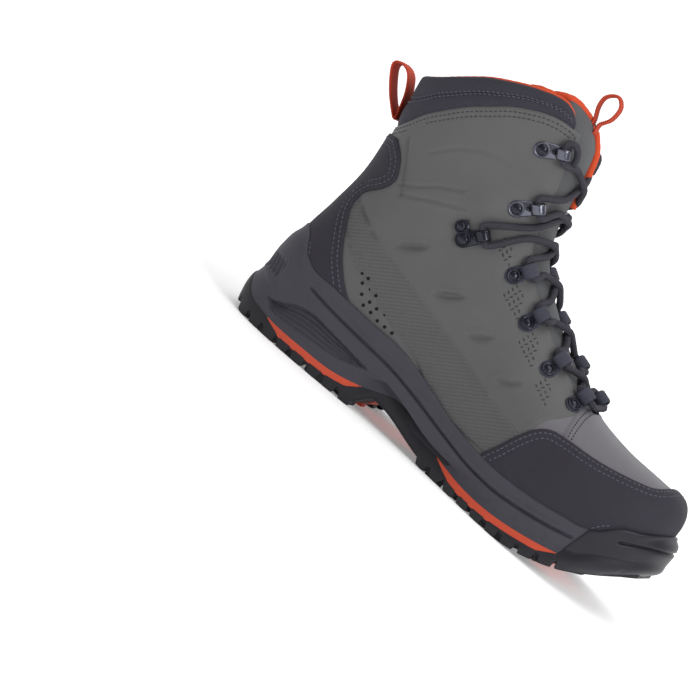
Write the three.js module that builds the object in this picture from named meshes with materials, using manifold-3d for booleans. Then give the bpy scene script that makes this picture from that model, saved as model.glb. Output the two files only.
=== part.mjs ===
// Wading boot for the left foot, in millimetres.
// The origin is on the floor under the middle of the heel.
// +X points to the toe, +Y to the wearer's left, which is the outer side, and +Z up.
import * as THREE from 'three';
import { mergeVertices } from 'three/addons/utils/BufferGeometryUtils.js';
import Module from 'manifold-3d';

const wasm = await Module();
wasm.setup();

// Lengths and widths of the whole boot
const soleLength = 320;
const heelSetback = soleLength * 0.1875;
const ballWidth = 118;
const heelWidth = 88;
const instepHeight = 140;
const shaftHeight = 230;
const shaftWidth = 88;
const shaftDepth = 115;
const ankleBack = 43;

// Heights of the sole
const soleStack = 50;
const treadDepth = 3.5;
const baseThickness = 4.6;
const toeSpring = 35;
const archRise = 10;
const heelBevel = 11;
const heelFlatBack = soleLength * -0.1375;
const heelFlatFront = soleLength * 0.147;
const ballFlatBack = soleLength * 0.35;
const ballFlatFront = soleLength * 0.5375;

// Walls and clearances
const clearance = 0.3;
const upperWall = 2.2;
const overlayWall = 1.6;
const overlayTuck = 6;
const lipWall = 2.4;
const bumperWall = 5;
const collarThickness = 9;
const collarTierStep = 1.2;
const tongueThickness = 6.5;
const tongueHalf = 30;
const throatHalfLow = 17;
const throatHalfHigh = 24;
const throatAbove = 14;
const throatDepth = 26;
const collarAbove = 30;
const insoleThickness = 4;

// Tread
const lugPitch = soleLength / 16;
const lugSpread = ballWidth * 0.195;
const lugRadius = lugPitch * 0.44;
const fieldDepth = 2.6;

// Side of the midsole
const grooveDepth = 1.6;
const grooveHeight = 2.2;
const recessDepth = 2.2;
const ribWidth = 1.6;

// Lacing
const laceDiameter = 4.4;
const laceInset = 3.1;
const laceRest = 0.6;
const strapWidth = 11;
const strapThickness = 1.8;
const strapLength = 15;
const strapBeyond = ballWidth * 0.119;
const rivetRadius = 4.6;
const rivetHeight = 2;
const hookLength = 14;
const hookPlate = 1.4;
const hookWidth = 7;
const hookRadius = 5.2;
const seatSink = 0.15;
const ankleHookBeyond = shaftWidth * 0.534;
const shaftHookBeyond = shaftWidth * 0.23;

// Pull loops
const heelLoopWidth = 18;
const heelLoopThickness = 1.8;
const tongueLoopWidth = 8;
const tongueLoopThickness = 1.8;

// Steps of the meshes
const roundSteps = 16;
const formStations = [0, 0.5, 1, 1.7, 2.5, 3.3, 4, 4.7, 5.3, 6, 7, 8, 9, 10, 11, 12, 13, 14, 15.5, 17];
const outlineSteps = 30;
const sideSteps = 24;
const laceSteps = 4;
const loopSteps = 18;
const rivetSteps = 6;
const weld = 0.02;
const needle = 0.004;

const colours = {
  grey: new THREE.MeshStandardMaterial({ color: 0x646663, roughness: 0.75 }),
  black: new THREE.MeshStandardMaterial({ color: 0x2a2a2e, roughness: 0.7 }),
  nubuck: new THREE.MeshStandardMaterial({ color: 0x32303a, roughness: 0.85 }),
  slate: new THREE.MeshStandardMaterial({ color: 0x504e58, roughness: 0.7 }),
  orange: new THREE.MeshStandardMaterial({ color: 0xcd503c, roughness: 0.6 }),
  lace: new THREE.MeshStandardMaterial({ color: 0x4b4848, roughness: 0.9 }),
  webbing: new THREE.MeshStandardMaterial({ color: 0x5a5c6e, roughness: 0.8 }),
  metal: new THREE.MeshStandardMaterial({ color: 0x55565e, roughness: 0.35, metalness: 0.9 }),
  foam: new THREE.MeshStandardMaterial({ color: 0x3a3a40, roughness: 0.95 }),
};

const xAt = (share) => soleLength * share - heelSetback;

// A smooth curve through values placed at rising keys
function curveThrough(keys, values) {
  const last = keys.length - 1;
  const slopeAt = (i) => {
    if (i === 0) return (values[1] - values[0]) / (keys[1] - keys[0]);
    if (i === last) return (values[last] - values[last - 1]) / (keys[last] - keys[last - 1]);
    const before = (values[i] - values[i - 1]) / (keys[i] - keys[i - 1]);
    const after = (values[i + 1] - values[i]) / (keys[i + 1] - keys[i]);
    const share = (keys[i] - keys[i - 1]) / (keys[i + 1] - keys[i - 1]);
    return before * (1 - share) + after * share;
  };
  return (key) => {
    let i = 0;
    while (i < last - 1 && key > keys[i + 1]) i += 1;
    const gap = keys[i + 1] - keys[i];
    const t = Math.min(1, Math.max(0, (key - keys[i]) / gap));
    const s = 1 - t;
    const rise = slopeAt(i) * gap;
    const fall = slopeAt(i + 1) * gap;
    const placed = values[i] * s * s * (1 + 2 * t) + values[i + 1] * t * t * (3 - 2 * t);
    return placed + rise * t * s * s - fall * t * t * s;
  };
}

const columnOf = (rows, column) => rows.map((row) => row[column]);

// Plan of the sole. at: share of its length. middle: share of the ball width to the outer side.
// heel and ball: shares of the heel width and of the ball width that add up to the half width.
const solePlan = [
  { at: 0, middle: 0, heel: 0, ball: 0 },
  { at: 0.02, middle: 0, heel: 0.255, ball: 0 },
  { at: 0.06, middle: 0, heel: 0.39, ball: 0 },
  { at: 0.13, middle: 0.003, heel: 0.47, ball: 0 },
  { at: 0.21, middle: 0.006, heel: 0.49, ball: 0 },
  { at: 0.3, middle: 0.015, heel: 0.36, ball: 0.085 },
  { at: 0.42, middle: 0.035, heel: 0.2, ball: 0.19 },
  { at: 0.53, middle: 0.045, heel: 0.08, ball: 0.32 },
  { at: 0.62, middle: 0.038, heel: 0, ball: 0.445 },
  { at: 0.7, middle: 0.022, heel: 0, ball: 0.49 },
  { at: 0.78, middle: 0.006, heel: 0, ball: 0.488 },
  { at: 0.86, middle: -0.015, heel: 0, ball: 0.44 },
  { at: 0.93, middle: -0.04, heel: 0, ball: 0.345 },
  { at: 0.97, middle: -0.052, heel: 0, ball: 0.24 },
  { at: 1, middle: -0.06, heel: 0, ball: 0 },
];
const turnOf = (at) => Math.acos(1 - 2 * Math.min(1, Math.max(0, at)));
const planTurns = solePlan.map((row) => turnOf(row.at));
const planMiddle = curveThrough(planTurns, solePlan.map((row) => row.middle * ballWidth));
const planHalf = curveThrough(planTurns, solePlan.map((row) => row.heel * heelWidth + row.ball * ballWidth));

// A point of the sole's outline at a turn from the heel (0) over the outer side to the toe (pi)
function planPoint(turn) {
  const share = turn <= Math.PI ? turn : 2 * Math.PI - turn;
  const side = turn <= Math.PI ? 1 : -1;
  const x = xAt((1 - Math.cos(share)) / 2);
  return new THREE.Vector2(x, planMiddle(share) + side * planHalf(share));
}

// The same outline moved outwards, or inwards where grow is negative
function planRing(grow) {
  const points = [];
  for (let i = 0; i < outlineSteps; i += 1) {
    const turn = (2 * Math.PI * (i + 0.5)) / outlineSteps;
    const back = planPoint(turn - 0.02);
    const ahead = planPoint((turn + 0.02) % (2 * Math.PI));
    const outward = new THREE.Vector2(-(ahead.y - back.y), ahead.x - back.x).normalize();
    points.push(planPoint(turn).addScaledVector(outward, grow));
  }
  return points;
}

// Lines along the side of the sole. at: share of the sole's length. high: share of the sole's stack.
const rimRows = [
  { at: 0, high: 1.3 },
  { at: 0.065, high: 1.28 },
  { at: 0.085, high: 1.12 },
  { at: 0.11, high: 1.03 },
  { at: 0.18, high: 0.995 },
  { at: 0.26, high: 0.965 },
  { at: 0.36, high: 0.945 },
  { at: 0.44, high: 0.835 },
  { at: 0.52, high: 0.705 },
  { at: 0.6, high: 0.635 },
  { at: 0.67, high: 0.612 },
  { at: 0.73, high: 0.644 },
  { at: 0.8, high: 0.714 },
  { at: 0.86, high: 0.814 },
  { at: 0.875, high: 0.88 },
  { at: 0.89, high: 1 },
  { at: 0.93, high: 1.15 },
  { at: 0.97, high: 1.27 },
  { at: 1, high: 1.34 },
];
const midRows = [
  { at: 0, high: 0.46 },
  { at: 0.04, high: 0.28 },
  { at: 0.09, high: 0.215 },
  { at: 0.2, high: 0.195 },
  { at: 0.28, high: 0.215 },
  { at: 0.34, high: 0.3 },
  { at: 0.4, high: 0.43 },
  { at: 0.44, high: 0.43 },
  { at: 0.49, high: 0.34 },
  { at: 0.54, high: 0.25 },
  { at: 0.6, high: 0.192 },
  { at: 0.66, high: 0.178 },
  { at: 0.73, high: 0.212 },
  { at: 0.8, high: 0.285 },
  { at: 0.846, high: 0.35 },
];
const bedRows = [
  { at: 0, high: 0.52 },
  { at: 0.2, high: 0.5 },
  { at: 0.34, high: 0.42 },
  { at: 0.5, high: 0.33 },
  { at: 0.66, high: 0.3 },
  { at: 0.76, high: 0.35 },
  { at: 0.85, high: 0.47 },
  { at: 0.92, high: 0.64 },
  { at: 1, high: 0.88 },
];
function sideLine(rows, size) {
  return curveThrough(rows.map((row) => xAt(row.at)), rows.map((row) => row.high * size));
}
const rimLine = sideLine(rimRows, soleStack);
const midLine = sideLine(midRows, soleStack);
const bedLine = sideLine(bedRows, soleStack);

const soften = (t) => {
  const s = Math.min(1, Math.max(0, t));
  return s * s * (3 - 2 * s);
};

// Height of the tread's underside above the floor
function groundLine(x) {
  const behind = (heelFlatBack - x) / (heelSetback + heelFlatBack);
  const ahead = (x - ballFlatFront) / (xAt(1) - ballFlatFront);
  if (behind > 0) return heelBevel * Math.min(1, behind) ** 2;
  if (ahead > 0) return toeSpring * ahead ** 1.8;
  if (x <= heelFlatFront || x >= ballFlatBack) return 0;
  const along = (x - heelFlatFront) / (ballFlatBack - heelFlatFront);
  return archRise * soften(along / 0.18) * (1 - soften((along - 0.18) / 0.82));
}
const baseLine = (x) => groundLine(x) + treadDepth;

// Side wall of the sole. rise: share of the height from the tread to the rim. out: share of the stack.
const soleWall = [
  { rise: 0, out: -0.03 },
  { rise: 0.12, out: 0 },
  { rise: 0.42, out: -0.05 },
  { rise: 0.7, out: -0.05 },
  { rise: 0.9, out: -0.1 },
  { rise: 1, out: -0.18 },
];

// The shapes below are made into solids that can be joined and cut
function solidOf(geometry) {
  const bare = new THREE.BufferGeometry();
  bare.setAttribute('position', geometry.getAttribute('position'));
  if (geometry.index) bare.setIndex(geometry.index);
  const merged = mergeVertices(bare, 1e-4);
  const vertProperties = new Float32Array(merged.getAttribute('position').array);
  const triVerts = new Uint32Array(merged.index.array);
  return new wasm.Manifold(new wasm.Mesh({ numProp: 3, vertProperties, triVerts }));
}

// Triangles without edges shorter than the weld: the ends of such an edge become one point
function welded(places, triangles) {
  const target = Array.from({ length: places.length / 3 }, (unused, i) => i);
  const root = (i) => {
    while (target[i] !== i) i = target[i];
    return i;
  };
  const point = (i) => new THREE.Vector3().fromArray(places, 3 * i);
  for (let t = 0; t < triangles.length; t += 3) {
    for (const [a, b] of [[0, 1], [1, 2], [2, 0]]) {
      const [first, second] = [triangles[t + a], triangles[t + b]];
      if (point(first).distanceTo(point(second)) < weld) target[root(second)] = root(first);
    }
  }
  const kept = new Map();
  for (let t = 0; t < triangles.length; t += 3) {
    const corner = [0, 1, 2].map((k) => root(triangles[t + k]));
    if (new Set(corner).size < 3) continue;
    const key = [...corner].sort((a, b) => a - b).join();
    if (kept.has(key)) kept.delete(key);
    else kept.set(key, corner);
  }
  return [...kept.values()];
}

// Needle-thin triangles give their longest edge over to their neighbour
function withoutNeedles(places, corners3) {
  const point = (i) => new THREE.Vector3().fromArray(places, 3 * i);
  const faces = corners3.map((face) => [...face]);
  for (let pass = 0; pass < 4; pass += 1) {
    const owner = new Map();
    faces.forEach((face, t) => face.forEach((a, k) => owner.set(`${a},${face[(k + 1) % 3]}`, t)));
    const touched = new Set();
    faces.forEach((face, t) => {
      const lengths = face.map((a, k) => point(a).distanceTo(point(face[(k + 1) % 3])));
      const k = lengths.indexOf(Math.max(...lengths));
      const [a, b, tip] = [face[k], face[(k + 1) % 3], face[(k + 2) % 3]];
      const across = point(b).sub(point(a)).cross(point(tip).sub(point(a))).length();
      const other = owner.get(`${b},${a}`);
      if (across / lengths[k] > needle || other === undefined) return;
      const far = faces[other].find((i) => i !== a && i !== b);
      const taken = owner.has(`${tip},${far}`) || owner.has(`${far},${tip}`);
      if (taken || touched.has(t) || touched.has(other)) return;
      faces[t] = [a, far, tip];
      faces[other] = [far, b, tip];
      touched.add(t).add(other);
    });
    if (touched.size === 0) break;
  }
  return faces;
}

function geometryOf(solid) {
  const { vertProperties, triVerts } = solid.getMesh();
  const places = new Float32Array(vertProperties);
  const geometry = new THREE.BufferGeometry();
  const faces = withoutNeedles(places, welded(places, triVerts));
  geometry.setAttribute('position', new THREE.BufferAttribute(places, 3));
  geometry.setIndex(new THREE.BufferAttribute(new Uint32Array(faces.flat()), 1));
  geometry.computeVertexNormals();
  return geometry;
}

function solidFromGrid(rings, closing) {
  const around = rings[0].length;
  const places = rings.flat().flatMap((point) => [point.x, point.y, point.z]);
  const faces = [];
  for (let i = 0; i < rings.length - 1; i += 1) {
    for (let j = 0; j < around; j += 1) {
      const a = i * around + j;
      const b = i * around + ((j + 1) % around);
      faces.push(a, b, b + around, a, b + around, a + around);
    }
  }
  closing(faces, places, around, rings.length);
  const geometry = new THREE.BufferGeometry();
  geometry.setAttribute('position', new THREE.Float32BufferAttribute(places, 3));
  geometry.setIndex(faces);
  return solidOf(geometry);
}

// Body of the whole sole: rings of the outline from the tread up to the rim
function soleBody(grow) {
  const rings = soleWall.map((row) => planRing(grow + row.out * soleStack).map((point) => {
    const low = groundLine(point.x);
    return new THREE.Vector3(point.x, point.y, low + row.rise * (rimLine(point.x) - low));
  }));
  rings.forEach((ring) => ring.reverse());
  return solidFromGrid(rings, (faces, places, around, count) => {
    for (const [start, flip] of [[0, true], [(count - 1) * around, false]]) {
      for (let j = 0; j < around / 2 - 1; j += 1) {
        const a = start + j;
        const b = start + j + 1;
        const c = start + around - 1 - j;
        const d = start + around - 2 - j;
        const quad = flip ? [a, c, b, b, c, d] : [a, b, c, b, d, c];
        faces.push(...quad);
      }
    }
  });
}

// The corners of an outline, without points that lie on a straight stretch
function corners(points) {
  return points.filter(([x, z], i) => {
    const [lastX, lastZ] = points[(i + points.length - 1) % points.length];
    const [nextX, nextZ] = points[(i + 1) % points.length];
    return Math.abs((x - lastX) * (nextZ - z) - (nextX - x) * (z - lastZ)) > 1e-6;
  });
}

// A solid with a given outline seen from the side, as wide as the boot and more
function sideSolid(points, from = -ballWidth, to = ballWidth) {
  const shape = new THREE.Shape(corners(points).map(([x, z]) => new THREE.Vector2(x, z)));
  const geometry = new THREE.ExtrudeGeometry(shape, { depth: to - from, bevelEnabled: false, steps: 1 });
  geometry.rotateX(Math.PI / 2);
  geometry.translate(0, to, 0);
  return solidOf(geometry);
}

// A solid with a given outline seen from above
function planSolid(points, from, to) {
  const shape = new THREE.Shape(points.map(([x, y]) => new THREE.Vector2(x, y)));
  const geometry = new THREE.ExtrudeGeometry(shape, { depth: to - from, bevelEnabled: false, steps: 1 });
  geometry.translate(0, 0, from);
  return solidOf(geometry);
}

// Points of a line along the boot. All lines share the same steps, so their facets stay parallel.
const sideStep = soleLength / sideSteps;
function samples(line, from, to) {
  const places = [from];
  for (let i = Math.ceil((from + heelSetback) / sideStep - 0.8); i * sideStep - heelSetback < to; i += 1) {
    const x = i * sideStep - heelSetback;
    if (x > from + 0.2 * sideStep && x < to - 0.2 * sideStep) places.push(x);
  }
  places.push(to);
  return places.map((x) => [x, line(x)]);
}

const farBack = xAt(-0.05);
const farFront = xAt(1.05);
const farUp = 2 * shaftHeight;

// Sections of the upper. They fan from the toe over the instep and up the shaft. Each lies between
// a point of the top or front profile and a point of the bottom or back profile.
const sectionNames = [
  'topAt', 'topHigh', 'lowAt', 'lowHigh', 'half', 'middle', 'widest', 'lowRound', 'topRound',
];
// Lengths are shares of the sole's length, heights of the instep height, widths of the ball width
const footSections = [
  [0.967, 0.5, 0.959, 0.17, 0, -0.056, 0.36, 4, 2.8],
  [0.956, 0.561, 0.948, 0.157, 0.182, -0.056, 0.36, 4, 2.8],
  [0.931, 0.602, 0.922, 0.136, 0.302, -0.05, 0.36, 4, 2.8],
  [0.875, 0.606, 0.866, 0.107, 0.397, -0.03, 0.36, 4, 2.7],
  [0.781, 0.613, 0.769, 0.079, 0.445, 0, 0.35, 4, 2.5],
  [0.688, 0.66, 0.656, 0.071, 0.44, 0.024, 0.32, 4, 2.25],
  [0.597, 0.775, 0.525, 0.071, 0.396, 0.036, 0.29, 4, 2.15],
  [0.522, 0.893, 0.394, 0.086, 0.354, 0.036, 0.29, 4, 2.15],
  [0.469, 0.989, 0.266, 0.1, 0.333, 0.026, 0.32, 4.2, 2.3],
];
// Lengths are shares of the shaft's depth from the ankle, heights of the shaft height, widths of its width
const shaftSections = [
  [1.078, 0.65, 0.243, 0.065, 0.436, 0.016, 0.37, 4, 2.5],
  [1.043, 0.687, 0.009, 0.091, 0.434, 0.01, 0.42, 3, 2.6],
  [1.022, 0.72, -0.065, 0.165, 0.428, 0.006, 0.45, 2.5, 2.7],
  [1.007, 0.756, -0.063, 0.27, 0.423, 0, 0.47, 2.35, 2.7],
  [0.991, 0.8, -0.026, 0.383, 0.422, 0, 0.47, 2.3, 2.7],
  [0.97, 0.848, 0, 0.504, 0.426, 0, 0.47, 2.25, 2.6],
  [0.939, 0.904, -0.022, 0.63, 0.448, 0, 0.47, 2.25, 2.5],
  [0.904, 0.957, -0.061, 0.73, 0.47, 0, 0.47, 2.25, 2.5],
  [0.835, 1.07, -0.1, 0.925, 0.49, 0, 0.47, 2.25, 2.5],
];

function sectionRow(values, lengthOf, height, width) {
  const row = Object.fromEntries(sectionNames.map((name, i) => [name, values[i]]));
  return {
    topX: lengthOf(row.topAt),
    topZ: row.topHigh * height,
    lowX: lengthOf(row.lowAt),
    lowZ: row.lowHigh * height,
    half: row.half * width,
    middle: row.middle * width,
    widest: row.widest,
    lowRound: row.lowRound,
    topRound: row.topRound,
  };
}
const alongShaft = (share) => share * shaftDepth - ankleBack;
const sections = [
  ...footSections.map((values) => sectionRow(values, xAt, instepHeight, ballWidth)),
  ...shaftSections.map((values) => sectionRow(values, alongShaft, shaftHeight, shaftWidth)),
];
const lastSection = sections.length - 1;

// The nose closes like a mirror: the row before the first is the second with its width turned over
const mirrored = [{ ...sections[1], half: -sections[1].half }, ...sections];
const sectionKeys = mirrored.map((row, i) => i - 1);
const sectionCurves = Object.fromEntries(
  Object.keys(sections[0]).map((name) => [name, curveThrough(sectionKeys, columnOf(mirrored, name))]),
);
const sectionAt = (station) => Object.fromEntries(
  Object.entries(sectionCurves).map(([name, curve]) => [name, curve(station)]),
);

// A point of the upper's outer face. The turn is 0 at the top or front and pi at the bottom or back.
function skinPoint(station, turn) {
  const row = sectionAt(station);
  const up = Math.cos(turn);
  const round = up > 0 ? row.topRound : row.lowRound;
  const reach = (Math.abs(up) ** round + Math.abs(Math.sin(turn)) ** round) ** (-1 / round);
  const share = row.widest + reach * up * (up > 0 ? 1 - row.widest : row.widest);
  return new THREE.Vector3(
    row.lowX + share * (row.topX - row.lowX),
    row.middle + row.half * reach * Math.sin(turn),
    row.lowZ + share * (row.topZ - row.lowZ),
  );
}

function skinNormal(station, turn) {
  const step = 0.02;
  const near = Math.max(station, step);
  const safeTurn = Math.abs(Math.sin(turn)) < step ? turn + step : turn;
  const along = skinPoint(near + step, safeTurn).sub(skinPoint(near - step, safeTurn));
  const round = skinPoint(near, safeTurn + step).sub(skinPoint(near, safeTurn - step));
  const normal = new THREE.Vector3().crossVectors(round, along).normalize();
  if (safeTurn !== turn) {
    const twin = turn - step;
    const alongTwin = skinPoint(near + step, twin).sub(skinPoint(near - step, twin));
    const roundTwin = skinPoint(near, twin + step).sub(skinPoint(near, twin - step));
    normal.add(new THREE.Vector3().crossVectors(roundTwin, alongTwin).normalize()).normalize();
  }
  if (station < step) normal.y = 0;
  return normal.normalize();
}

// The same face moved outwards by grow
function formPoint(station, turn, grow) {
  return skinPoint(station, turn).addScaledVector(skinNormal(station, turn), grow);
}

const formCache = new Map();

// The upper as a full body, moved outwards by grow
function form(grow) {
  if (formCache.has(grow)) return formCache.get(grow);
  const rings = [];
  for (const station of formStations) {
    const ring = [];
    for (let j = 0; j < roundSteps; j += 1) {
      const step = station === 0 ? Math.min(j, roundSteps - j) : j;
      ring.push(formPoint(station, (2 * Math.PI * step) / roundSteps, grow));
    }
    rings.push(ring);
  }
  const body = solidFromGrid(rings, (faces, places, around, count) => {
    const start = (count - 1) * around;
    for (let j = 1; j < around / 2; j += 1) {
      const left = start + j;
      const right = start + around - j;
      const nextLeft = start + j + 1;
      const nextRight = start + around - j - 1;
      if (j === 1) faces.push(start, left, right);
      if (nextLeft === nextRight) faces.push(left, nextLeft, right);
      else faces.push(left, nextLeft, right, nextLeft, nextRight, right);
    }
  });
  formCache.set(grow, body);
  return body;
}

// A point of the front of the upper at a distance to the side, lifted off its face
function frontPoint(station, y, lift) {
  const row = sectionAt(station);
  const share = Math.min(0.98, Math.abs(y - row.middle) / row.half);
  const rise = (1 - share ** row.topRound) ** (1 / row.topRound);
  const turn = Math.atan2(share * Math.sign(y - row.middle), rise);
  return formPoint(station, turn, lift);
}

// A ribbon along the top and front profile, from one station to another, with a given half width
function frontRibbon(from, to, halfOf, outside, inside, count) {
  const rings = [];
  for (let i = 0; i <= count; i += 1) {
    const station = from + ((to - from) * i) / count;
    const row = sectionAt(station);
    const top = new THREE.Vector3(row.topX, row.middle, row.topZ);
    const inward = new THREE.Vector3(row.lowX - row.topX, 0, row.lowZ - row.topZ).normalize();
    const half = halfOf(station);
    const corner = (side, depth) => {
      const point = top.clone().addScaledVector(inward, depth);
      return point.setY(row.middle + side * half);
    };
    rings.push([corner(1, -outside), corner(1, inside), corner(-1, inside), corner(-1, -outside)]);
  }
  return solidFromGrid(rings, (faces, places, around, length) => {
    const end = (length - 1) * around;
    faces.push(0, 2, 1, 0, 3, 2, end, end + 1, end + 2, end, end + 2, end + 3);
  });
}

const lerp = THREE.MathUtils.lerp;

// Stations of the throat and of the tongue
const throatLow = 4.95;
const throatTop = 16.1;
const tongueLow = 4.5;
const tongueTop = lastSection;
const tongueWrap = 30;
function throatHalf(station) {
  const share = (station - throatLow) / (throatTop - throatLow);
  const rounding = Math.min(1, 0.55 + (station - throatLow) * 1.1);
  return lerp(throatHalfLow, throatHalfHigh, share) * rounding;
}

// Top edge of the upper and of the collar. back: share of the shaft's depth. high: share of its height.
const seamRows = [
  { back: -0.3, high: 0.6 },
  { back: -0.08, high: 0.635 },
  { back: 0.01, high: 0.657 },
  { back: 0.07, high: 0.69 },
  { back: 0.12, high: 0.725 },
  { back: 0.21, high: 0.773 },
  { back: 0.3, high: 0.817 },
  { back: 0.4, high: 0.857 },
  { back: 0.49, high: 0.892 },
  { back: 0.58, high: 0.918 },
  { back: 0.67, high: 0.938 },
  { back: 0.76, high: 0.948 },
  { back: 0.81, high: 0.948 },
  { back: 0.86, high: 0.938 },
  { back: 0.88, high: 0.925 },
  { back: 0.93, high: 0.87 },
];
const brimRows = [
  { back: -0.3, high: 0.78 },
  { back: -0.06, high: 0.802 },
  { back: 0.03, high: 0.822 },
  { back: 0.12, high: 0.85 },
  { back: 0.21, high: 0.88 },
  { back: 0.3, high: 0.91 },
  { back: 0.4, high: 0.936 },
  { back: 0.49, high: 0.957 },
  { back: 0.58, high: 0.974 },
  { back: 0.66, high: 0.986 },
  { back: 0.72, high: 0.988 },
  { back: 0.78, high: 0.972 },
  { back: 0.82, high: 0.945 },
  { back: 0.86, high: 0.9 },
];
const shaftLine = (rows) => rows.map((row) => [alongShaft(row.back), row.high * shaftHeight]);
const shaftCurve = (rows) => curveThrough(...[0, 1].map((i) => shaftLine(rows).map((point) => point[i])));
const seamLine = shaftCurve(seamRows);
const brimLine = shaftCurve(brimRows);
const seamFront = alongShaft(seamRows[seamRows.length - 1].back);
const tierLine = (x) => lerp(seamLine(x), brimLine(x), 0.52);

// Region of the side view above or below a line
function above(line, from = farBack, to = farFront) {
  return sideSolid([...samples(line, from, to), [to, farUp], [from, farUp]]);
}

function below(line, from = farBack, to = farFront) {
  return sideSolid([...samples(line, from, to).reverse(), [from, -farUp], [to, -farUp]]);
}

// Overlay outlines seen from the side. at: share of the sole's length. high: share of the instep height.
const randRows = [
  { at: 0.607, high: 0.11 },
  { at: 0.609, high: 0.224 },
  { at: 0.626, high: 0.307 },
  { at: 0.644, high: 0.4 },
  { at: 0.661, high: 0.463 },
  { at: 0.684, high: 0.5 },
  { at: 0.717, high: 0.512 },
  { at: 0.782, high: 0.524 },
  { at: 0.828, high: 0.541 },
  { at: 0.87, high: 0.562 },
  { at: 0.897, high: 0.58 },
  { at: 0.913, high: 0.61 },
  { at: 0.915, high: 0.68 },
  { at: 1.06, high: 0.68 },
  { at: 1.06, high: 0.11 },
];
const counterRows = [
  { at: -0.1, high: 0.1 },
  { at: -0.1, high: 1.0 },
  { at: 0.04, high: 1.015 },
  { at: 0.084, high: 1.035 },
  { at: 0.112, high: 0.985 },
  { at: 0.131, high: 0.925 },
  { at: 0.134, high: 0.886 },
  { at: 0.122, high: 0.829 },
  { at: 0.098, high: 0.771 },
  { at: 0.091, high: 0.714 },
  { at: 0.096, high: 0.664 },
  { at: 0.114, high: 0.595 },
  { at: 0.13, high: 0.543 },
  { at: 0.151, high: 0.479 },
  { at: 0.176, high: 0.421 },
  { at: 0.198, high: 0.379 },
  { at: 0.223, high: 0.347 },
  { at: 0.24, high: 0.334 },
  { at: 0.25, high: 0.1 },
];
const overlayOutline = (rows) => rows.map((row) => [xAt(row.at), row.high * instepHeight]);

// The outline moved outwards by grow, so that a pocket can be cut round an overlay
function grownOutline(points, grow) {
  const area = points.reduce((sum, [x, z], i) => {
    const [nextX, nextZ] = points[(i + 1) % points.length];
    return sum + x * nextZ - nextX * z;
  }, 0);
  return points.map(([x, z], i) => {
    const before = points[(i + points.length - 1) % points.length];
    const after = points[(i + 1) % points.length];
    const into = new THREE.Vector2(x - before[0], z - before[1]).normalize();
    const out = new THREE.Vector2(after[0] - x, after[1] - z).normalize();
    const mean = into.add(out).normalize();
    const side = area > 0 ? 1 : -1;
    return [x + mean.y * grow * side, z - mean.x * grow * side];
  });
}

// Overlay between two larger forms, with its lower edge tucked behind the lip of the sole
const tuckLine = (x) => rimLine(x) - overlayTuck;
function overlay(rows, grow) {
  const shell = form(clearance + overlayWall + grow).subtract(form(clearance - grow));
  const outline = sideSolid(grownOutline(overlayOutline(rows), grow));
  return shell.intersect(outline).intersect(above((x) => tuckLine(x) - grow));
}

// Back edge of the toe bumper. at: share of the sole's length. high: share of the stack.
const bumperRows = [
  { at: 0.846, high: 0.35 },
  { at: 0.862, high: 0.69 },
  { at: 0.87, high: 0.88 },
  { at: 0.88, high: 1.02 },
  { at: 0.93, high: 1.24 },
  { at: 1.03, high: 1.6 },
];
const bumperLap = 3;
const bumperEdge = bumperRows.map((row) => [xAt(row.at), row.high * soleStack]);

// Plan of the coloured middle of the tread. reach: shares of the half width, repeated along it.
const fieldFront = 0.885;
const fieldBack = 0.115;
const fieldTeeth = [0.3, 0.62, 0.5, 0.6, 0.3, 0.22];
const fieldTooth = 0.0242;
function fieldSide(side, grow) {
  const points = [];
  const count = Math.round((fieldFront - fieldBack) / fieldTooth);
  for (let i = 0; i <= count; i += 1) {
    const at = lerp(fieldFront, fieldBack, i / count);
    const taper = Math.min(1, 0.35 + 0.25 * Math.min(i, count - i));
    const reach = planHalf(turnOf(at)) * fieldTeeth[i % fieldTeeth.length] * taper;
    points.push([xAt(at), planMiddle(turnOf(at)) + side * (reach + grow)]);
  }
  return points;
}
function fieldRegion(grow) {
  const outer = fieldSide(1, grow);
  const inner = fieldSide(-1, grow).reverse();
  outer[0][0] += grow;
  inner[inner.length - 1][0] += grow;
  outer[outer.length - 1][0] -= grow;
  inner[0][0] -= grow;
  return planSolid([...outer, ...inner].reverse(), -toeSpring, farUp);
}

// A band along the sole between two lines
function band(low, high, from = farBack, to = farFront) {
  return sideSolid([...samples(low, from, to), ...samples(high, from, to).reverse()]);
}

// Side strips of the coloured plate. They start and end in a point on the midsole's lower edge.
const stripRanges = [
  { from: 0.105, to: 0.34, low: 0.095 },
  { from: 0.53, to: 0.846, low: 0.098 },
];
function plateStrip(range, grow) {
  const from = xAt(range.from);
  const to = xAt(range.to);
  const low = (x) => {
    const share = (x - from) / (to - from);
    const bend = Math.min(1, Math.max(0, Math.min(share, 1 - share) * 7));
    const floor = groundLine(x) * 0.93 + range.low * soleStack;
    return lerp(midLine(x) - clearance, floor, bend) - grow;
  };
  return band(low, (x) => midLine(x) - clearance + Math.max(grow, 0.01), from - 2 * grow, to + 2 * grow);
}

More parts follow.
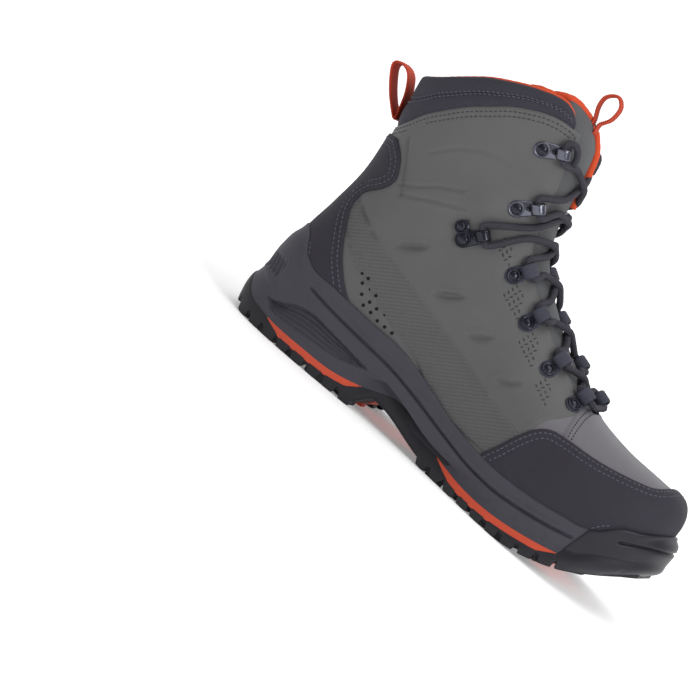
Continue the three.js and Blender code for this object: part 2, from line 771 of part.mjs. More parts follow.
// Lugs of the tread on a staggered grid
function lugCentres() {
  const centres = [];
  const firstRow = Math.ceil(xAt(0) / lugPitch);
  const lastRow = Math.floor((xAt(1) + lugRadius) / lugPitch);
  const reach = Math.ceil(ballWidth / 2 / lugSpread);
  for (let row = firstRow; row <= lastRow; row += 1) {
    const shift = row % 2 === 0 ? 0 : 0.5;
    for (let place = -reach; place <= reach; place += 1) {
      const x = row * lugPitch;
      const y = (place + shift) * lugSpread;
      const at = (x + heelSetback) / soleLength;
      if (at < 0.01 || at > 0.955) continue;
      const side = Math.abs(y - planMiddle(turnOf(at)));
      const half = planHalf(turnOf(at));
      if (side < half + lugRadius * 0.55) centres.push({ x, y, at, side, half });
    }
  }
  return centres;
}
const overArch = (x) => x > heelFlatFront + 6 && x < ballFlatBack - 10;
const inField = (lug) => lug.side < lug.half * 0.42 && lug.at < fieldFront - 0.02 && lug.at > fieldBack;

function lugSolid({ x, y }) {
  const geometry = new THREE.CylinderGeometry(lugRadius, lugRadius, soleStack, 6);
  geometry.rotateX(Math.PI / 2);
  geometry.rotateZ(Math.PI / 6);
  geometry.translate(x, y, soleStack / 2 - 1);
  return solidOf(geometry);
}

const joined = (solids) => solids.reduce((sum, solid) => sum.add(solid));
const treadBand = band(groundLine, (x) => baseLine(x) + 0.6);
const sole = soleBody(0);
const outsoleBody = soleBody(0.5);

const fieldBand = band(baseLine, (x) => baseLine(x) + fieldDepth);
const fieldPocket = band((x) => groundLine(x) - 1, (x) => baseLine(x) + fieldDepth + clearance);

// Pieces of the sole
function makeInlay() {
  const strips = stripRanges.map((range) => plateStrip(range, 0).intersect(sole));
  const field = fieldRegion(0).intersect(fieldBand).intersect(soleBody(-bumperWall));
  const lugs = lugCentres().filter((lug) => inField(lug) && !overArch(lug.x)).map(lugSolid);
  const orangeTread = joined(lugs).intersect(treadBand).intersect(fieldRegion(0));
  return joined([...strips, field, orangeTread]);
}

const midRegion = sideSolid([
  ...samples(midLine, farBack, bumperEdge[0][0]),
  ...bumperEdge.slice(1),
  [farFront, farUp],
  [farBack, farUp],
]);
const cavity = form(clearance).intersect(above(bedLine));
const midFront = midRows[midRows.length - 1].high * soleStack;
const toeCoreLow = (x) => Math.max(baseLine(x) + baseThickness, midFront + clearance);
const toeCoreFrom = xAt(0.842);

function toeCore(grow) {
  const region = band((x) => toeCoreLow(x) - grow, (x) => bedLine(x) + grow, toeCoreFrom, xAt(1));
  return soleBody(grow - bumperWall).intersect(region);
}
const underRim = below(rimLine);

function makeOutsole() {
  const lower = band(baseLine, (x) => midLine(x) - clearance, farBack, bumperEdge[0][0] + clearance);
  const bumper = sideSolid([
    ...samples(baseLine, bumperEdge[0][0] - bumperLap, farFront),
    [farFront, bumperEdge[bumperEdge.length - 1][1]],
    ...bumperEdge.map(([x, z]) => [x + clearance, z - clearance]).reverse(),
  ]);
  const overToe = form(2 * clearance + overlayWall + bumperWall * 0.4);
  const cup = outsoleBody.add(overToe.intersect(underRim));
  const lugs = lugCentres().filter((lug) => !inField(lug) && !overArch(lug.x)).map(lugSolid);
  const tread = joined(lugs).intersect(treadBand).intersect(outsoleBody);
  const strips = stripRanges.map((range) => plateStrip(range, clearance));
  return outsoleBody.intersect(lower)
    .add(cup.intersect(bumper))
    .add(tread)
    .subtract(joined(strips))
    .subtract(fieldRegion(clearance).intersect(fieldPocket))
    .subtract(toeCore(clearance))
    .subtract(cavity)
    .subtract(overlay(randRows, clearance).intersect(above(bedLine)));
}

// Recesses in the side of the midsole, as outlines seen from the side in shares of length and stack
const wedgeRows = [
  { at: 0.066, low: 0.26, high: 0.34 },
  { at: 0.12, low: 0.26, high: 0.47 },
  { at: 0.16, low: 0.27, high: 0.56 },
  { at: 0.22, low: 0.28, high: 0.57 },
  { at: 0.28, low: 0.32, high: 0.53 },
  { at: 0.33, low: 0.42, high: 0.48 },
];
const rearRows = [
  { at: 0.03, low: 0.56, high: 0.94 },
  { at: 0.06, low: 0.56, high: 0.9 },
  { at: 0.1, low: 0.62, high: 0.84 },
];

function recess(region, depth) {
  return region.subtract(soleBody(-depth));
}

function makeMidsole() {
  const lip = form(clearance + lipWall).intersect(underRim).intersect(above((x) => bedLine(x) - 2));
  const edge = (rows, name) => sideLine(rows.map((row) => ({ at: row.at, high: row[name] })), soleStack);
  const grooveFrom = xAt(0.135);
  const grooveTo = xAt(0.86);
  const grooveLine = (x) => groundLine(x) + (rimLine(x) - groundLine(x)) * 0.735;
  const groove = band(grooveLine, (x) => grooveLine(x) + grooveHeight, grooveFrom, grooveTo);
  const cuts = [recess(groove, grooveDepth)];
  const wedgeLow = edge(wedgeRows, 'low');
  const wedgeHigh = edge(wedgeRows, 'high');
  const ribCount = 3;
  for (let i = 0; i < ribCount; i += 1) {
    const rib = i < ribCount - 1 ? ribWidth : 0;
    const low = (x) => lerp(wedgeLow(x), wedgeHigh(x), i / ribCount);
    const high = (x) => lerp(wedgeLow(x), wedgeHigh(x), (i + 1) / ribCount) - rib;
    const from = xAt(wedgeRows[0].at + 0.02);
    const to = xAt(wedgeRows[wedgeRows.length - 1].at - 0.02);
    cuts.push(recess(band(low, high, from, to), recessDepth));
  }
  const rearLow = edge(rearRows, 'low');
  const rearHigh = edge(rearRows, 'high');
  const rearRibs = 3;
  for (let i = 0; i < rearRibs; i += 1) {
    const from = lerp(xAt(rearRows[0].at), xAt(rearRows[2].at), i / rearRibs);
    const to = from + (xAt(rearRows[2].at) - xAt(rearRows[0].at)) / rearRibs - ribWidth;
    cuts.push(recess(band(rearLow, rearHigh, from, to), recessDepth));
  }
  return sole.add(lip)
    .intersect(midRegion)
    .subtract(joined(cuts))
    .add(toeCore(0))
    .subtract(cavity)
    .subtract(overlay(randRows, clearance))
    .subtract(overlay(counterRows, clearance));
}

function makeInsole() {
  const layer = band((x) => bedLine(x) + clearance, (x) => bedLine(x) + clearance + insoleThickness);
  return form(-upperWall - clearance).intersect(layer);
}

// Pieces of the upper
function makeUpper() {
  const region = sideSolid([
    ...samples((x) => bedLine(x) + clearance, farBack, farFront),
    [farFront, farUp],
    [seamFront, farUp],
    ...samples(seamLine, farBack, seamFront).reverse(),
  ]);
  const slot = frontRibbon(throatLow, lastSection, throatHalf, throatAbove, throatDepth, 16);
  return form(0).subtract(form(-upperWall)).intersect(region).subtract(slot);
}

function tongueSolid(grow) {
  const outer = form(grow - upperWall - clearance);
  const inner = form(-upperWall - clearance - tongueThickness - grow);
  const half = () => tongueHalf + grow;
  const ribbon = frontRibbon(tongueLow, tongueTop, half, throatAbove, tongueWrap + grow, 16);
  return outer.subtract(inner).intersect(ribbon);
}
const tongueTopHigh = 0.998 * shaftHeight;
const belowTongueTop = sideSolid([
  [farBack, 0],
  [farFront, 0],
  [farFront, tongueTopHigh - 16],
  [alongShaft(1), tongueTopHigh - 12],
  [alongShaft(0.84), tongueTopHigh - 3],
  [alongShaft(0.74), tongueTopHigh],
  [farBack, tongueTopHigh],
]);
const makeTongue = () => tongueSolid(0).intersect(belowTongueTop);

function makeCollar() {
  const front = alongShaft(brimRows[brimRows.length - 1].back);
  const seat = above((x) => seamLine(x) + clearance, farBack, seamFront);
  const lowerTier = form(collarTierStep).intersect(below(tierLine, farBack, front));
  const upperTier = form(0).intersect(below(brimLine, farBack, front));
  const half = (station) => throatHalf(station) + 1;
  const slot = frontRibbon(throatLow, lastSection, half, collarAbove, throatDepth, 16);
  const room = tongueSolid(clearance).add(form(-collarThickness));
  return lowerTier.add(upperTier).intersect(seat).subtract(room).subtract(slot);
}

// A strap loop seen from the side, as wide as given, made from its middle line
function stripLoop(points, width, thickness) {
  const stops = points.map(([x, z]) => new THREE.Vector3(x, z, 0));
  const curve = new THREE.CatmullRomCurve3(stops, true, 'centripetal');
  const line = curve.getPoints(loopSteps).slice(0, -1).map((point) => [point.x, point.y]);
  const outer = sideSolid(grownOutline(line, thickness / 2), -width / 2, width / 2);
  const inner = sideSolid(grownOutline(line, -thickness / 2), -width, width);
  return outer.subtract(inner);
}

// Back of the shaft at a share of its height
function backAt(height) {
  let station = lastSection;
  while (sectionAt(station).lowZ > height && station > 10) station -= 0.05;
  return sectionAt(station).lowX;
}

function makeHeelLoop() {
  const foot = 0.66 * shaftHeight;
  const tip = 0.787 * shaftHeight;
  const back = (height) => backAt(height) - collarTierStep - clearance - heelLoopThickness / 2 - 0.3;
  const rise = tip - foot;
  const points = [
    [back(foot), foot],
    [back(foot) - 5, foot + rise * 0.1],
    [back(foot) - 14, foot + rise * 0.4],
    [back(foot) - 22, foot + rise * 0.78],
    [back(foot) - 22.5, foot + rise * 0.95],
    [back(foot) - 17, tip],
    [back(foot) - 11, foot + rise * 0.9],
    [back(foot) - 5.5, foot + rise * 0.6],
    [back(foot + rise * 0.3) - 0.6, foot + rise * 0.3],
  ];
  const loop = stripLoop(points, heelLoopWidth, heelLoopThickness);
  return loop.subtract(form(collarTierStep + clearance));
}

function makeTongueLoop() {
  const station = lastSection - 0.75;
  const lift = tongueLoopThickness / 2 + clearance - upperWall;
  const foot = frontPoint(station, sectionAt(station).middle, lift);
  const points = [
    [foot.x + 2, foot.z - 4],
    [foot.x + 2.4, foot.z + 3],
    [foot.x + 5, foot.z + 11],
    [foot.x + 4.4, foot.z + 20],
    [foot.x - 1, foot.z + 24],
    [foot.x - 6.4, foot.z + 20],
    [foot.x - 6, foot.z + 12],
    [foot.x - 2.6, foot.z + 4],
    [foot.x - 1.6, foot.z - 4],
  ];
  const loop = stripLoop(points, tongueLoopWidth, tongueLoopThickness);
  return loop.subtract(tongueSolid(clearance).intersect(belowTongueTop)).subtract(form(-upperWall));
}

// Eyelets and hooks. station: along the boot. beyond: how far outside the throat's edge.
const strapStations = [5.15, 5.95, 7, 8.35];
const ankleHook = { station: 10.55, beyond: ankleHookBeyond };
const shaftHooks = [12.2, 15.05].map((station) => ({ station, beyond: shaftHookBeyond }));

// The faceted face of the upper, which carries the eyelets, and the spots where it is felt for
// under each of them, in strap widths towards the throat and along the boot
const facets = new THREE.Mesh(geometryOf(form(0)), new THREE.MeshBasicMaterial({ side: THREE.DoubleSide }));
const spotGrid = (aheads, asides) => aheads.flatMap((ahead) => asides.map((aside) => [ahead, aside]));
const seatSpots = spotGrid([-0.5, -0.25, 0, 0.25, 0.5, 0.75, 1, 1.2, 1.4], [-0.5, -0.25, 0, 0.25, 0.5]);
const earSpots = spotGrid([-0.4, -0.2, 0, 0.2, 0.4], [0.7, 0.9, 1.1]);

// Frame on the face of the upper: X towards the throat, Y along the boot, Z outwards
function seatFrame(station, beyond, side, spots = seatSpots) {
  const row = sectionAt(station);
  const edge = frontPoint(station, row.middle + side * throatHalf(station), 0);
  let turn = 0;
  let foot = skinPoint(station, 0);
  let covered = -foot.distanceTo(edge);
  while (covered < beyond) {
    turn += 0.01 * side;
    const next = skinPoint(station, turn);
    covered += next.distanceTo(foot);
    foot = next;
  }
  const out = skinNormal(station, turn);
  const towards = skinPoint(station, turn - 0.03 * side).sub(foot);
  towards.addScaledVector(out, -towards.dot(out)).normalize();
  const across = new THREE.Vector3().crossVectors(out, towards).normalize();
  const rises = spots.map(([ahead, aside]) => {
    const above = foot.clone().addScaledVector(towards, ahead * strapWidth);
    above.addScaledVector(across, aside * strapWidth).addScaledVector(out, strapLength);
    const [hit] = new THREE.Raycaster(above, out.clone().negate()).intersectObject(facets);
    return strapLength - hit.distance;
  });
  foot.addScaledVector(out, clearance + Math.max(...rises));
  return new THREE.Matrix4().makeBasis(towards, across, out).setPosition(foot);
}

function placed(geometry, frame) {
  return solidOf(geometry.applyMatrix4(frame));
}

function plate(shape, depth) {
  return new THREE.ExtrudeGeometry(shape, { depth, bevelEnabled: false, curveSegments: 3, steps: 1 });
}

function tab(length, width, thickness) {
  const shape = new THREE.Shape();
  const radius = width / 2;
  shape.absarc(0, 0, radius, Math.PI / 2, (3 * Math.PI) / 2, false);
  shape.lineTo(length, -radius * 0.8);
  shape.lineTo(length, radius * 0.8);
  shape.closePath();
  return plate(shape, thickness);
}

function rivetGeometry(radius, height, lift) {
  const profile = [[0, 0], [radius, 0], [radius * 0.75, height], [0, height]];
  const geometry = new THREE.LatheGeometry(profile.map(([x, y]) => new THREE.Vector2(x, y)), rivetSteps);
  geometry.rotateX(Math.PI / 2);
  geometry.translate(0, 0, lift);
  return geometry;
}

function ringAcross(radius, thickness, width, x) {
  const shape = new THREE.Shape().absarc(0, 0, radius, 0, 2 * Math.PI, false);
  shape.holes.push(new THREE.Path().absarc(0, 0, radius - thickness, 0, 2 * Math.PI, true));
  const geometry = plate(shape, width);
  geometry.rotateX(Math.PI / 2);
  geometry.translate(x, width / 2, radius + seatSink);
  return geometry;
}

function makeStrap(station, side) {
  const frame = seatFrame(station, strapBeyond, side);
  const flat = placed(tab(strapLength - 4, strapWidth, strapThickness), frame);
  const eyeRadius = laceDiameter * 0.72 + strapThickness;
  const eye = ringAcross(eyeRadius, strapThickness, strapWidth * 0.8, strapLength - 5);
  return flat.add(placed(eye, frame));
}

function makeRivet(station, side) {
  const frame = seatFrame(station, strapBeyond, side);
  return placed(rivetGeometry(rivetRadius, rivetHeight, strapThickness + clearance), frame);
}

function makeHook(seat, side, rivets) {
  const spots = rivets > 1 ? [...seatSpots, ...earSpots] : seatSpots;
  const frame = seatFrame(seat.station, seat.beyond, side, spots);
  const pieces = [placed(tab(hookLength, hookRadius * 2, hookPlate), frame)];
  pieces.push(placed(rivetGeometry(hookRadius * 0.8, rivetHeight, hookPlate - seatSink), frame));
  const curl = ringAcross(laceDiameter * 0.75 + hookPlate, hookPlate, hookWidth, hookLength - 1);
  pieces.push(placed(curl, frame));
  if (rivets > 1) {
    const second = rivetGeometry(hookRadius * 0.6, rivetHeight, hookPlate);
    second.translate(0, hookRadius * 1.5, -2 * seatSink);
    const ear = tab(hookRadius, hookRadius * 1.6, hookPlate - 2 * seatSink);
    ear.translate(0, hookRadius * 1.5, seatSink);
    pieces.push(placed(second, frame), placed(ear, frame));
  }
  return joined(pieces);
}

// Lace: a bar at the bottom and crossings up to the top hooks, over the tongue
const laceStations = [...strapStations, ankleHook.station, ...shaftHooks.map((hook) => hook.station)];

// How far a strand keeps from the next level, in stations
function laceKeep(station) {
  const stride = frontPoint(station - 0.1, 0, 0).distanceTo(frontPoint(station + 0.1, 0, 0)) / 0.2;
  return (laceDiameter * 0.6) / stride;
}

function laceStrand(from, to, side) {
  const points = [];
  for (let i = 0; i <= laceSteps; i += 1) {
    const share = i / laceSteps;
    const station = lerp(from, to, share);
    const middle = sectionAt(station).middle;
    const y = middle + side * (throatHalf(station) - laceInset) * (2 * share - 1);
    points.push(frontPoint(station, y, laceRest));
  }
  const section = new THREE.Shape().absarc(0, 0, laceDiameter / 2, 0, 2 * Math.PI, false);
  const path = new THREE.CatmullRomCurve3(points);
  const form = { steps: laceSteps, extrudePath: path, curveSegments: 3 };
  return solidOf(new THREE.ExtrudeGeometry(section, form));
}

function makeCrossing(level) {
  const first = laceStations[0] - laceKeep(laceStations[0]);
  if (level === 0) return laceStrand(first, first, 1);
  const [from, to] = [laceStations[level - 1], laceStations[level]];
  const strands = [-1, 1].map((side) => laceStrand(from + laceKeep(from), to - laceKeep(to), side));
  return joined(strands);
}

const boot = new THREE.Group();

function addPiece(name, solid, material) {
  const mesh = new THREE.Mesh(geometryOf(solid), material);
  mesh.name = name;
  boot.add(mesh);
}

addPiece('outsole', makeOutsole(), colours.black);
addPiece('sole_inlay', makeInlay(), colours.orange);
addPiece('midsole', makeMidsole(), colours.slate);
addPiece('insole', makeInsole(), colours.foam);
addPiece('upper', makeUpper(), colours.grey);
addPiece('toe_rand', overlay(randRows, 0), colours.nubuck);
addPiece('heel_counter', overlay(counterRows, 0), colours.nubuck);
addPiece('collar', makeCollar(), colours.foam);
addPiece('tongue', makeTongue(), colours.grey);
addPiece('heel_loop', makeHeelLoop(), colours.orange);
addPiece('tongue_loop', makeTongueLoop(), colours.orange);
for (const [label, side] of [['inner', -1], ['outer', 1]]) {
  strapStations.forEach((station, i) => {
    addPiece(`lace_strap_${label}_${i + 1}`, makeStrap(station, side), colours.webbing);
    addPiece(`rivet_${label}_${i + 1}`, makeRivet(station, side), colours.metal);
  });
  addPiece(`ankle_hook_${label}`, makeHook(ankleHook, side, 2), colours.metal);
  shaftHooks.forEach((hook, i) => {
    addPiece(`shaft_hook_${label}_${i + 1}`, makeHook(hook, side, 1), colours.metal);
  });
}
laceStations.forEach((station, level) => {
  addPiece(`lace_crossing_${level + 1}`, makeCrossing(level), colours.lace);
});

export default boot;
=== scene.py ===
import bmesh
import bpy
import numpy as np
from mathutils import Matrix, Vector
from mathutils.bvhtree import BVHTree
from mathutils.kdtree import KDTree


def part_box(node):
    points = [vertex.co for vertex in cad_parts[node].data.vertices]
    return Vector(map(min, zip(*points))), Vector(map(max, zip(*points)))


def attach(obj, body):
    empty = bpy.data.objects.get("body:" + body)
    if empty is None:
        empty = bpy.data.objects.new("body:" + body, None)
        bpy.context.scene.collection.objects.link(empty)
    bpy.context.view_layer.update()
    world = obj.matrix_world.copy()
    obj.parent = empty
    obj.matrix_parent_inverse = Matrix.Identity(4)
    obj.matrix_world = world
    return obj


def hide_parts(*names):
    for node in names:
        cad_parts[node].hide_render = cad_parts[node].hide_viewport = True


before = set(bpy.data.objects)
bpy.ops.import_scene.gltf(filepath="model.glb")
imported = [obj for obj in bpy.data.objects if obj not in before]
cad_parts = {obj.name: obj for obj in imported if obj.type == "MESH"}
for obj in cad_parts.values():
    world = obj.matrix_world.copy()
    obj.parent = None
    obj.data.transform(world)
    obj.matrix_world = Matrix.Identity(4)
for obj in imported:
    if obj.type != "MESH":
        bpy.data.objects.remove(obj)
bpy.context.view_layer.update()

PI = np.pi
SOLE_LENGTH = 320.0
HEEL_SETBACK = 60.0
BALL_WIDTH = 118.0
HEEL_WIDTH = 88.0
INSTEP_HEIGHT = 140.0
SHAFT_HEIGHT = 230.0
SHAFT_WIDTH = 88.0
SHAFT_DEPTH = 115.0
ANKLE_BACK = 43.0
STACK = 50.0
TREAD_DEPTH = 3.5
TOE_SPRING = 35.0
ARCH_RISE = 10.0
HEEL_BEVEL = 11.0
HEEL_FLAT = (-44.0, 47.04)
BALL_FLAT = (112.0, 172.0)
CLEARANCE = 0.3
UPPER_WALL = 2.2
LIP_WALL = 2.4
LACE_RADIUS = 2.2
TONGUE_OPEN = 214.0


# ---------------------------------------------------------------- shapes shared with the CAD source
def x_at(share):
    return SOLE_LENGTH * np.asarray(share, float) - HEEL_SETBACK


def curve_through(keys, values):
    """A smooth curve through values placed at rising keys."""
    keys, values = np.asarray(keys, float), np.asarray(values, float)
    steps = np.diff(values) / np.diff(keys)
    share = np.diff(keys)[:-1] / (keys[2:] - keys[:-2])
    slopes = np.concatenate([steps[:1], steps[:-1] * (1 - share) + steps[1:] * share, steps[-1:]])

    def at(key):
        key = np.asarray(key, float)
        i = np.clip(np.searchsorted(keys, key) - 1, 0, len(keys) - 2)
        gap = keys[i + 1] - keys[i]
        t = np.clip((key - keys[i]) / gap, 0, 1)
        s = 1 - t
        placed = values[i] * s * s * (1 + 2 * t) + values[i + 1] * t * t * (3 - 2 * t)
        return placed + gap * t * s * (slopes[i] * s - slopes[i + 1] * t)

    return at


def soften(t):
    s = np.clip(t, 0, 1)
    return s * s * (3 - 2 * s)


def bell(off, width):
    return np.exp(-((off / width) ** 2))


def unit(v):
    return v / np.maximum(np.linalg.norm(v, axis=-1, keepdims=True), 1e-12)


# at, middle, heel, ball
SOLE_PLAN = np.array([
    [0, 0, 0, 0], [0.02, 0, 0.255, 0], [0.06, 0, 0.39, 0], [0.13, 0.003, 0.47, 0],
    [0.21, 0.006, 0.49, 0], [0.3, 0.015, 0.36, 0.085], [0.42, 0.035, 0.2, 0.19],
    [0.53, 0.045, 0.08, 0.32], [0.62, 0.038, 0, 0.445], [0.7, 0.022, 0, 0.49],
    [0.78, 0.006, 0, 0.488], [0.86, -0.015, 0, 0.44], [0.93, -0.04, 0, 0.345],
    [0.97, -0.052, 0, 0.24], [1, -0.06, 0, 0],
])


def turn_of(at):
    return np.arccos(1 - 2 * np.clip(at, 0, 1))


def turn_at(x):
    return turn_of((x + HEEL_SETBACK) / SOLE_LENGTH)


plan_turns = turn_of(SOLE_PLAN[:, 0])
plan_middle = curve_through(plan_turns, SOLE_PLAN[:, 1] * BALL_WIDTH)
plan_half = curve_through(plan_turns, SOLE_PLAN[:, 2] * HEEL_WIDTH + SOLE_PLAN[:, 3] * BALL_WIDTH)


def plan_point(turn):
    turn = np.mod(turn, 2 * PI)
    share = np.where(turn <= PI, turn, 2 * PI - turn)
    side = np.where(turn <= PI, 1.0, -1.0)
    x = x_at((1 - np.cos(share)) / 2)
    return np.stack([x, plan_middle(share) + side * plan_half(share)], -1)


def plan_outward(turn):
    step = plan_point(turn + 0.02) - plan_point(turn - 0.02)
    return unit(np.stack([-step[..., 1], step[..., 0]], -1))


RIM = [(0, 1.3), (0.065, 1.28), (0.085, 1.12), (0.11, 1.03), (0.18, 0.995), (0.26, 0.965),
       (0.36, 0.945), (0.44, 0.835), (0.52, 0.705), (0.6, 0.635), (0.67, 0.612), (0.73, 0.644),
       (0.8, 0.714), (0.86, 0.814), (0.875, 0.88), (0.89, 1), (0.93, 1.15), (0.97, 1.27), (1, 1.34)]
MID = [(0, 0.46), (0.04, 0.28), (0.09, 0.215), (0.2, 0.195), (0.28, 0.215), (0.34, 0.3),
       (0.4, 0.43), (0.44, 0.43), (0.49, 0.34), (0.54, 0.25), (0.6, 0.192), (0.66, 0.178),
       (0.73, 0.212), (0.8, 0.285), (0.846, 0.35)]
BED = [(0, 0.52), (0.2, 0.5), (0.34, 0.42), (0.5, 0.33), (0.66, 0.3), (0.76, 0.35), (0.85, 0.47),
       (0.92, 0.64), (1, 0.88)]


def side_line(rows, size):
    rows = np.array(rows, float)
    return curve_through(x_at(rows[:, 0]), rows[:, 1] * size)


rim_line = side_line(RIM, STACK)
mid_line = side_line(MID, STACK)
bed_line = side_line(BED, STACK)


def ground_line(x):
    """Height of the tread's underside above the floor."""
    x = np.asarray(x, float)
    behind = np.clip((HEEL_FLAT[0] - x) / (HEEL_SETBACK + HEEL_FLAT[0]), 0, 1)
    ahead = np.clip((x - BALL_FLAT[1]) / (x_at(1) - BALL_FLAT[1]), 0, None)
    along = (x - HEEL_FLAT[1]) / (BALL_FLAT[0] - HEEL_FLAT[1])
    arch = ARCH_RISE * soften(along / 0.18) * (1 - soften((along - 0.18) / 0.82))
    return HEEL_BEVEL * behind**2 + TOE_SPRING * ahead**1.8 + arch


def base_line(x):
    return ground_line(x) + TREAD_DEPTH


wall_out = curve_through([0, 0.12, 0.42, 0.7, 0.9, 1], [-0.03, 0, -0.05, -0.05, -0.1, -0.18])

# topAt, topHigh, lowAt, lowHigh, half, middle, widest, lowRound, topRound
FOOT = np.array([
    [0.967, 0.5, 0.959, 0.17, 0, -0.056, 0.36, 4, 2.8],
    [0.956, 0.561, 0.948, 0.157, 0.182, -0.056, 0.36, 4, 2.8],
    [0.931, 0.602, 0.922, 0.136, 0.302, -0.05, 0.36, 4, 2.8],
    [0.875, 0.606, 0.866, 0.107, 0.397, -0.03, 0.36, 4, 2.7],
    [0.781, 0.613, 0.769, 0.079, 0.445, 0, 0.35, 4, 2.5],
    [0.688, 0.66, 0.656, 0.071, 0.44, 0.024, 0.32, 4, 2.25],
    [0.597, 0.775, 0.525, 0.071, 0.396, 0.036, 0.29, 4, 2.15],
    [0.522, 0.893, 0.394, 0.086, 0.354, 0.036, 0.29, 4, 2.15],
    [0.469, 0.989, 0.266, 0.1, 0.333, 0.026, 0.32, 4.2, 2.3],
])
SHAFT = np.array([
    [1.078, 0.65, 0.243, 0.065, 0.436, 0.016, 0.37, 4, 2.5],
    [1.043, 0.687, 0.009, 0.091, 0.434, 0.01, 0.42, 3, 2.6],
    [1.022, 0.72, -0.065, 0.165, 0.428, 0.006, 0.45, 2.5, 2.7],
    [1.007, 0.756, -0.063, 0.27, 0.423, 0, 0.47, 2.35, 2.7],
    [0.991, 0.8, -0.026, 0.383, 0.422, 0, 0.47, 2.3, 2.7],
    [0.97, 0.848, 0, 0.504, 0.426, 0, 0.47, 2.25, 2.6],
    [0.939, 0.904, -0.022, 0.63, 0.448, 0, 0.47, 2.25, 2.5],
    [0.904, 0.957, -0.061, 0.73, 0.47, 0, 0.47, 2.25, 2.5],
    [0.835, 1.07, -0.1, 0.925, 0.49, 0, 0.47, 2.25, 2.5],
])


def along_shaft(share):
    return np.asarray(share, float) * SHAFT_DEPTH - ANKLE_BACK


def section_rows(rows, length_of, height, width):
    scaled = rows.copy()
    scaled[:, 0], scaled[:, 2] = length_of(rows[:, 0]), length_of(rows[:, 2])
    scaled[:, [1, 3]] *= height
    scaled[:, [4, 5]] *= width
    return scaled


SECTIONS = np.vstack([
    section_rows(FOOT, x_at, INSTEP_HEIGHT, BALL_WIDTH),
    section_rows(SHAFT, along_shaft, SHAFT_HEIGHT, SHAFT_WIDTH),
])
LAST = len(SECTIONS) - 1
nose = SECTIONS[1] * np.array([1, 1, 1, 1, -1, 1, 1, 1, 1])
section_keys = np.arange(-1, LAST + 1)
section_curves = [curve_through(section_keys, column) for column in np.vstack([nose, SECTIONS]).T]


def skin(station, turn):
    """A point of the upper's outer face. The turn is 0 at the top or front, pi at the bottom or back."""
    top_x, top_z, low_x, low_z, half, middle, widest, low_round, top_round = (
        curve(station) for curve in section_curves
    )
    up, side = np.cos(turn), np.sin(turn)
    power = np.where(up > 0, top_round, low_round)
    reach = (np.abs(up) ** power + np.abs(side) ** power) ** (-1 / power)
    share = widest + reach * up * np.where(up > 0, 1 - widest, widest)
    x, z = low_x + share * (top_x - low_x), low_z + share * (top_z - low_z)
    return np.stack([x, middle + half * reach * side, z], -1)


def plain_normal(station, turn, step=0.02):
    along = skin(station + step, turn) - skin(station - step, turn)
    around = skin(station, turn + step) - skin(station, turn - step)
    return unit(np.cross(around, along))


def skin_normal(station, turn):
    station, turn = np.broadcast_arrays(np.maximum(station, 0.02), turn)
    flat = np.abs(np.sin(turn)) < 0.02
    pair = plain_normal(station, turn + 0.02) + plain_normal(station, turn - 0.02)
    return unit(np.where(flat[..., None], pair, plain_normal(station, turn)))


def form(station, turn, lift):
    return skin(station, turn) + skin_normal(station, turn) * np.asarray(lift)[..., None]


def front_turn(station, y):
    """The turn of the point of the front that lies at a distance y to the side."""
    half, middle, power = section_curves[4](station), section_curves[5](station), section_curves[8](station)
    share = np.clip(np.abs(y - middle) / half, 0, 0.98)
    rise = (1 - share**power) ** (1 / power)
    return np.arctan2(share * np.sign(y - middle), rise)


THROAT = (4.95, 16.1)


def throat_half(station):
    share = (station - THROAT[0]) / (THROAT[1] - THROAT[0])
    full = 17 + 7 * share
    return full * np.clip(0.55 + (station - THROAT[0]) * 1.1, 0, 1)


def shaft_curve(rows):
    rows = np.array(rows, float)
    return curve_through(along_shaft(rows[:, 0]), rows[:, 1] * SHAFT_HEIGHT)


seam_line = shaft_curve([
    (-0.3, 0.6), (-0.08, 0.635), (0.01, 0.657), (0.07, 0.69), (0.12, 0.725), (0.21, 0.773),
    (0.3, 0.817), (0.4, 0.857), (0.49, 0.892), (0.58, 0.918), (0.67, 0.938), (0.76, 0.948),
    (0.81, 0.948), (0.86, 0.938), (0.88, 0.925), (0.93, 0.87)])
brim_line = shaft_curve([
    (-0.3, 0.78), (-0.06, 0.802), (0.03, 0.822), (0.12, 0.85), (0.21, 0.88), (0.3, 0.91),
    (0.4, 0.936), (0.49, 0.957), (0.58, 0.974), (0.66, 0.986), (0.72, 0.988), (0.78, 0.972),
    (0.82, 0.945), (0.86, 0.9)])
SEAM_FRONT = float(along_shaft(0.93))
BRIM_FRONT = float(along_shaft(0.86))


# ---------------------------------------------------------------- sheets on the form, cut by lines
def side_outline(rows, length_of=x_at, height=INSTEP_HEIGHT, steps=8):
    """A smooth closed outline in the side view, from shares."""
    rows = np.array(rows, float)
    points = np.stack([length_of(rows[:, 0]), rows[:, 1] * height], -1)
    return smooth_path(points, steps, closed=True)


def smooth_path(points, steps=8, closed=False):
    """A rounded line through the points."""
    points = np.asarray(points, float)
    if closed:
        padded = np.vstack([points[-1:], points, points[:2]])
    else:
        padded = np.vstack([2 * points[0] - points[1], points, 2 * points[-1] - points[-2]])
    t = np.arange(steps)[:, None] / steps
    rows = []
    for i in range(1, len(padded) - 2):
        a, b, c, d = padded[i - 1:i + 3]
        rows.append(0.5 * (2 * b + (c - a) * t + (2 * a - 5 * b + 4 * c - d) * t**2
                           + (3 * b - a - 3 * c + d) * t**3))
    if not closed:
        rows.append(points[-1:])
    return np.vstack(rows)


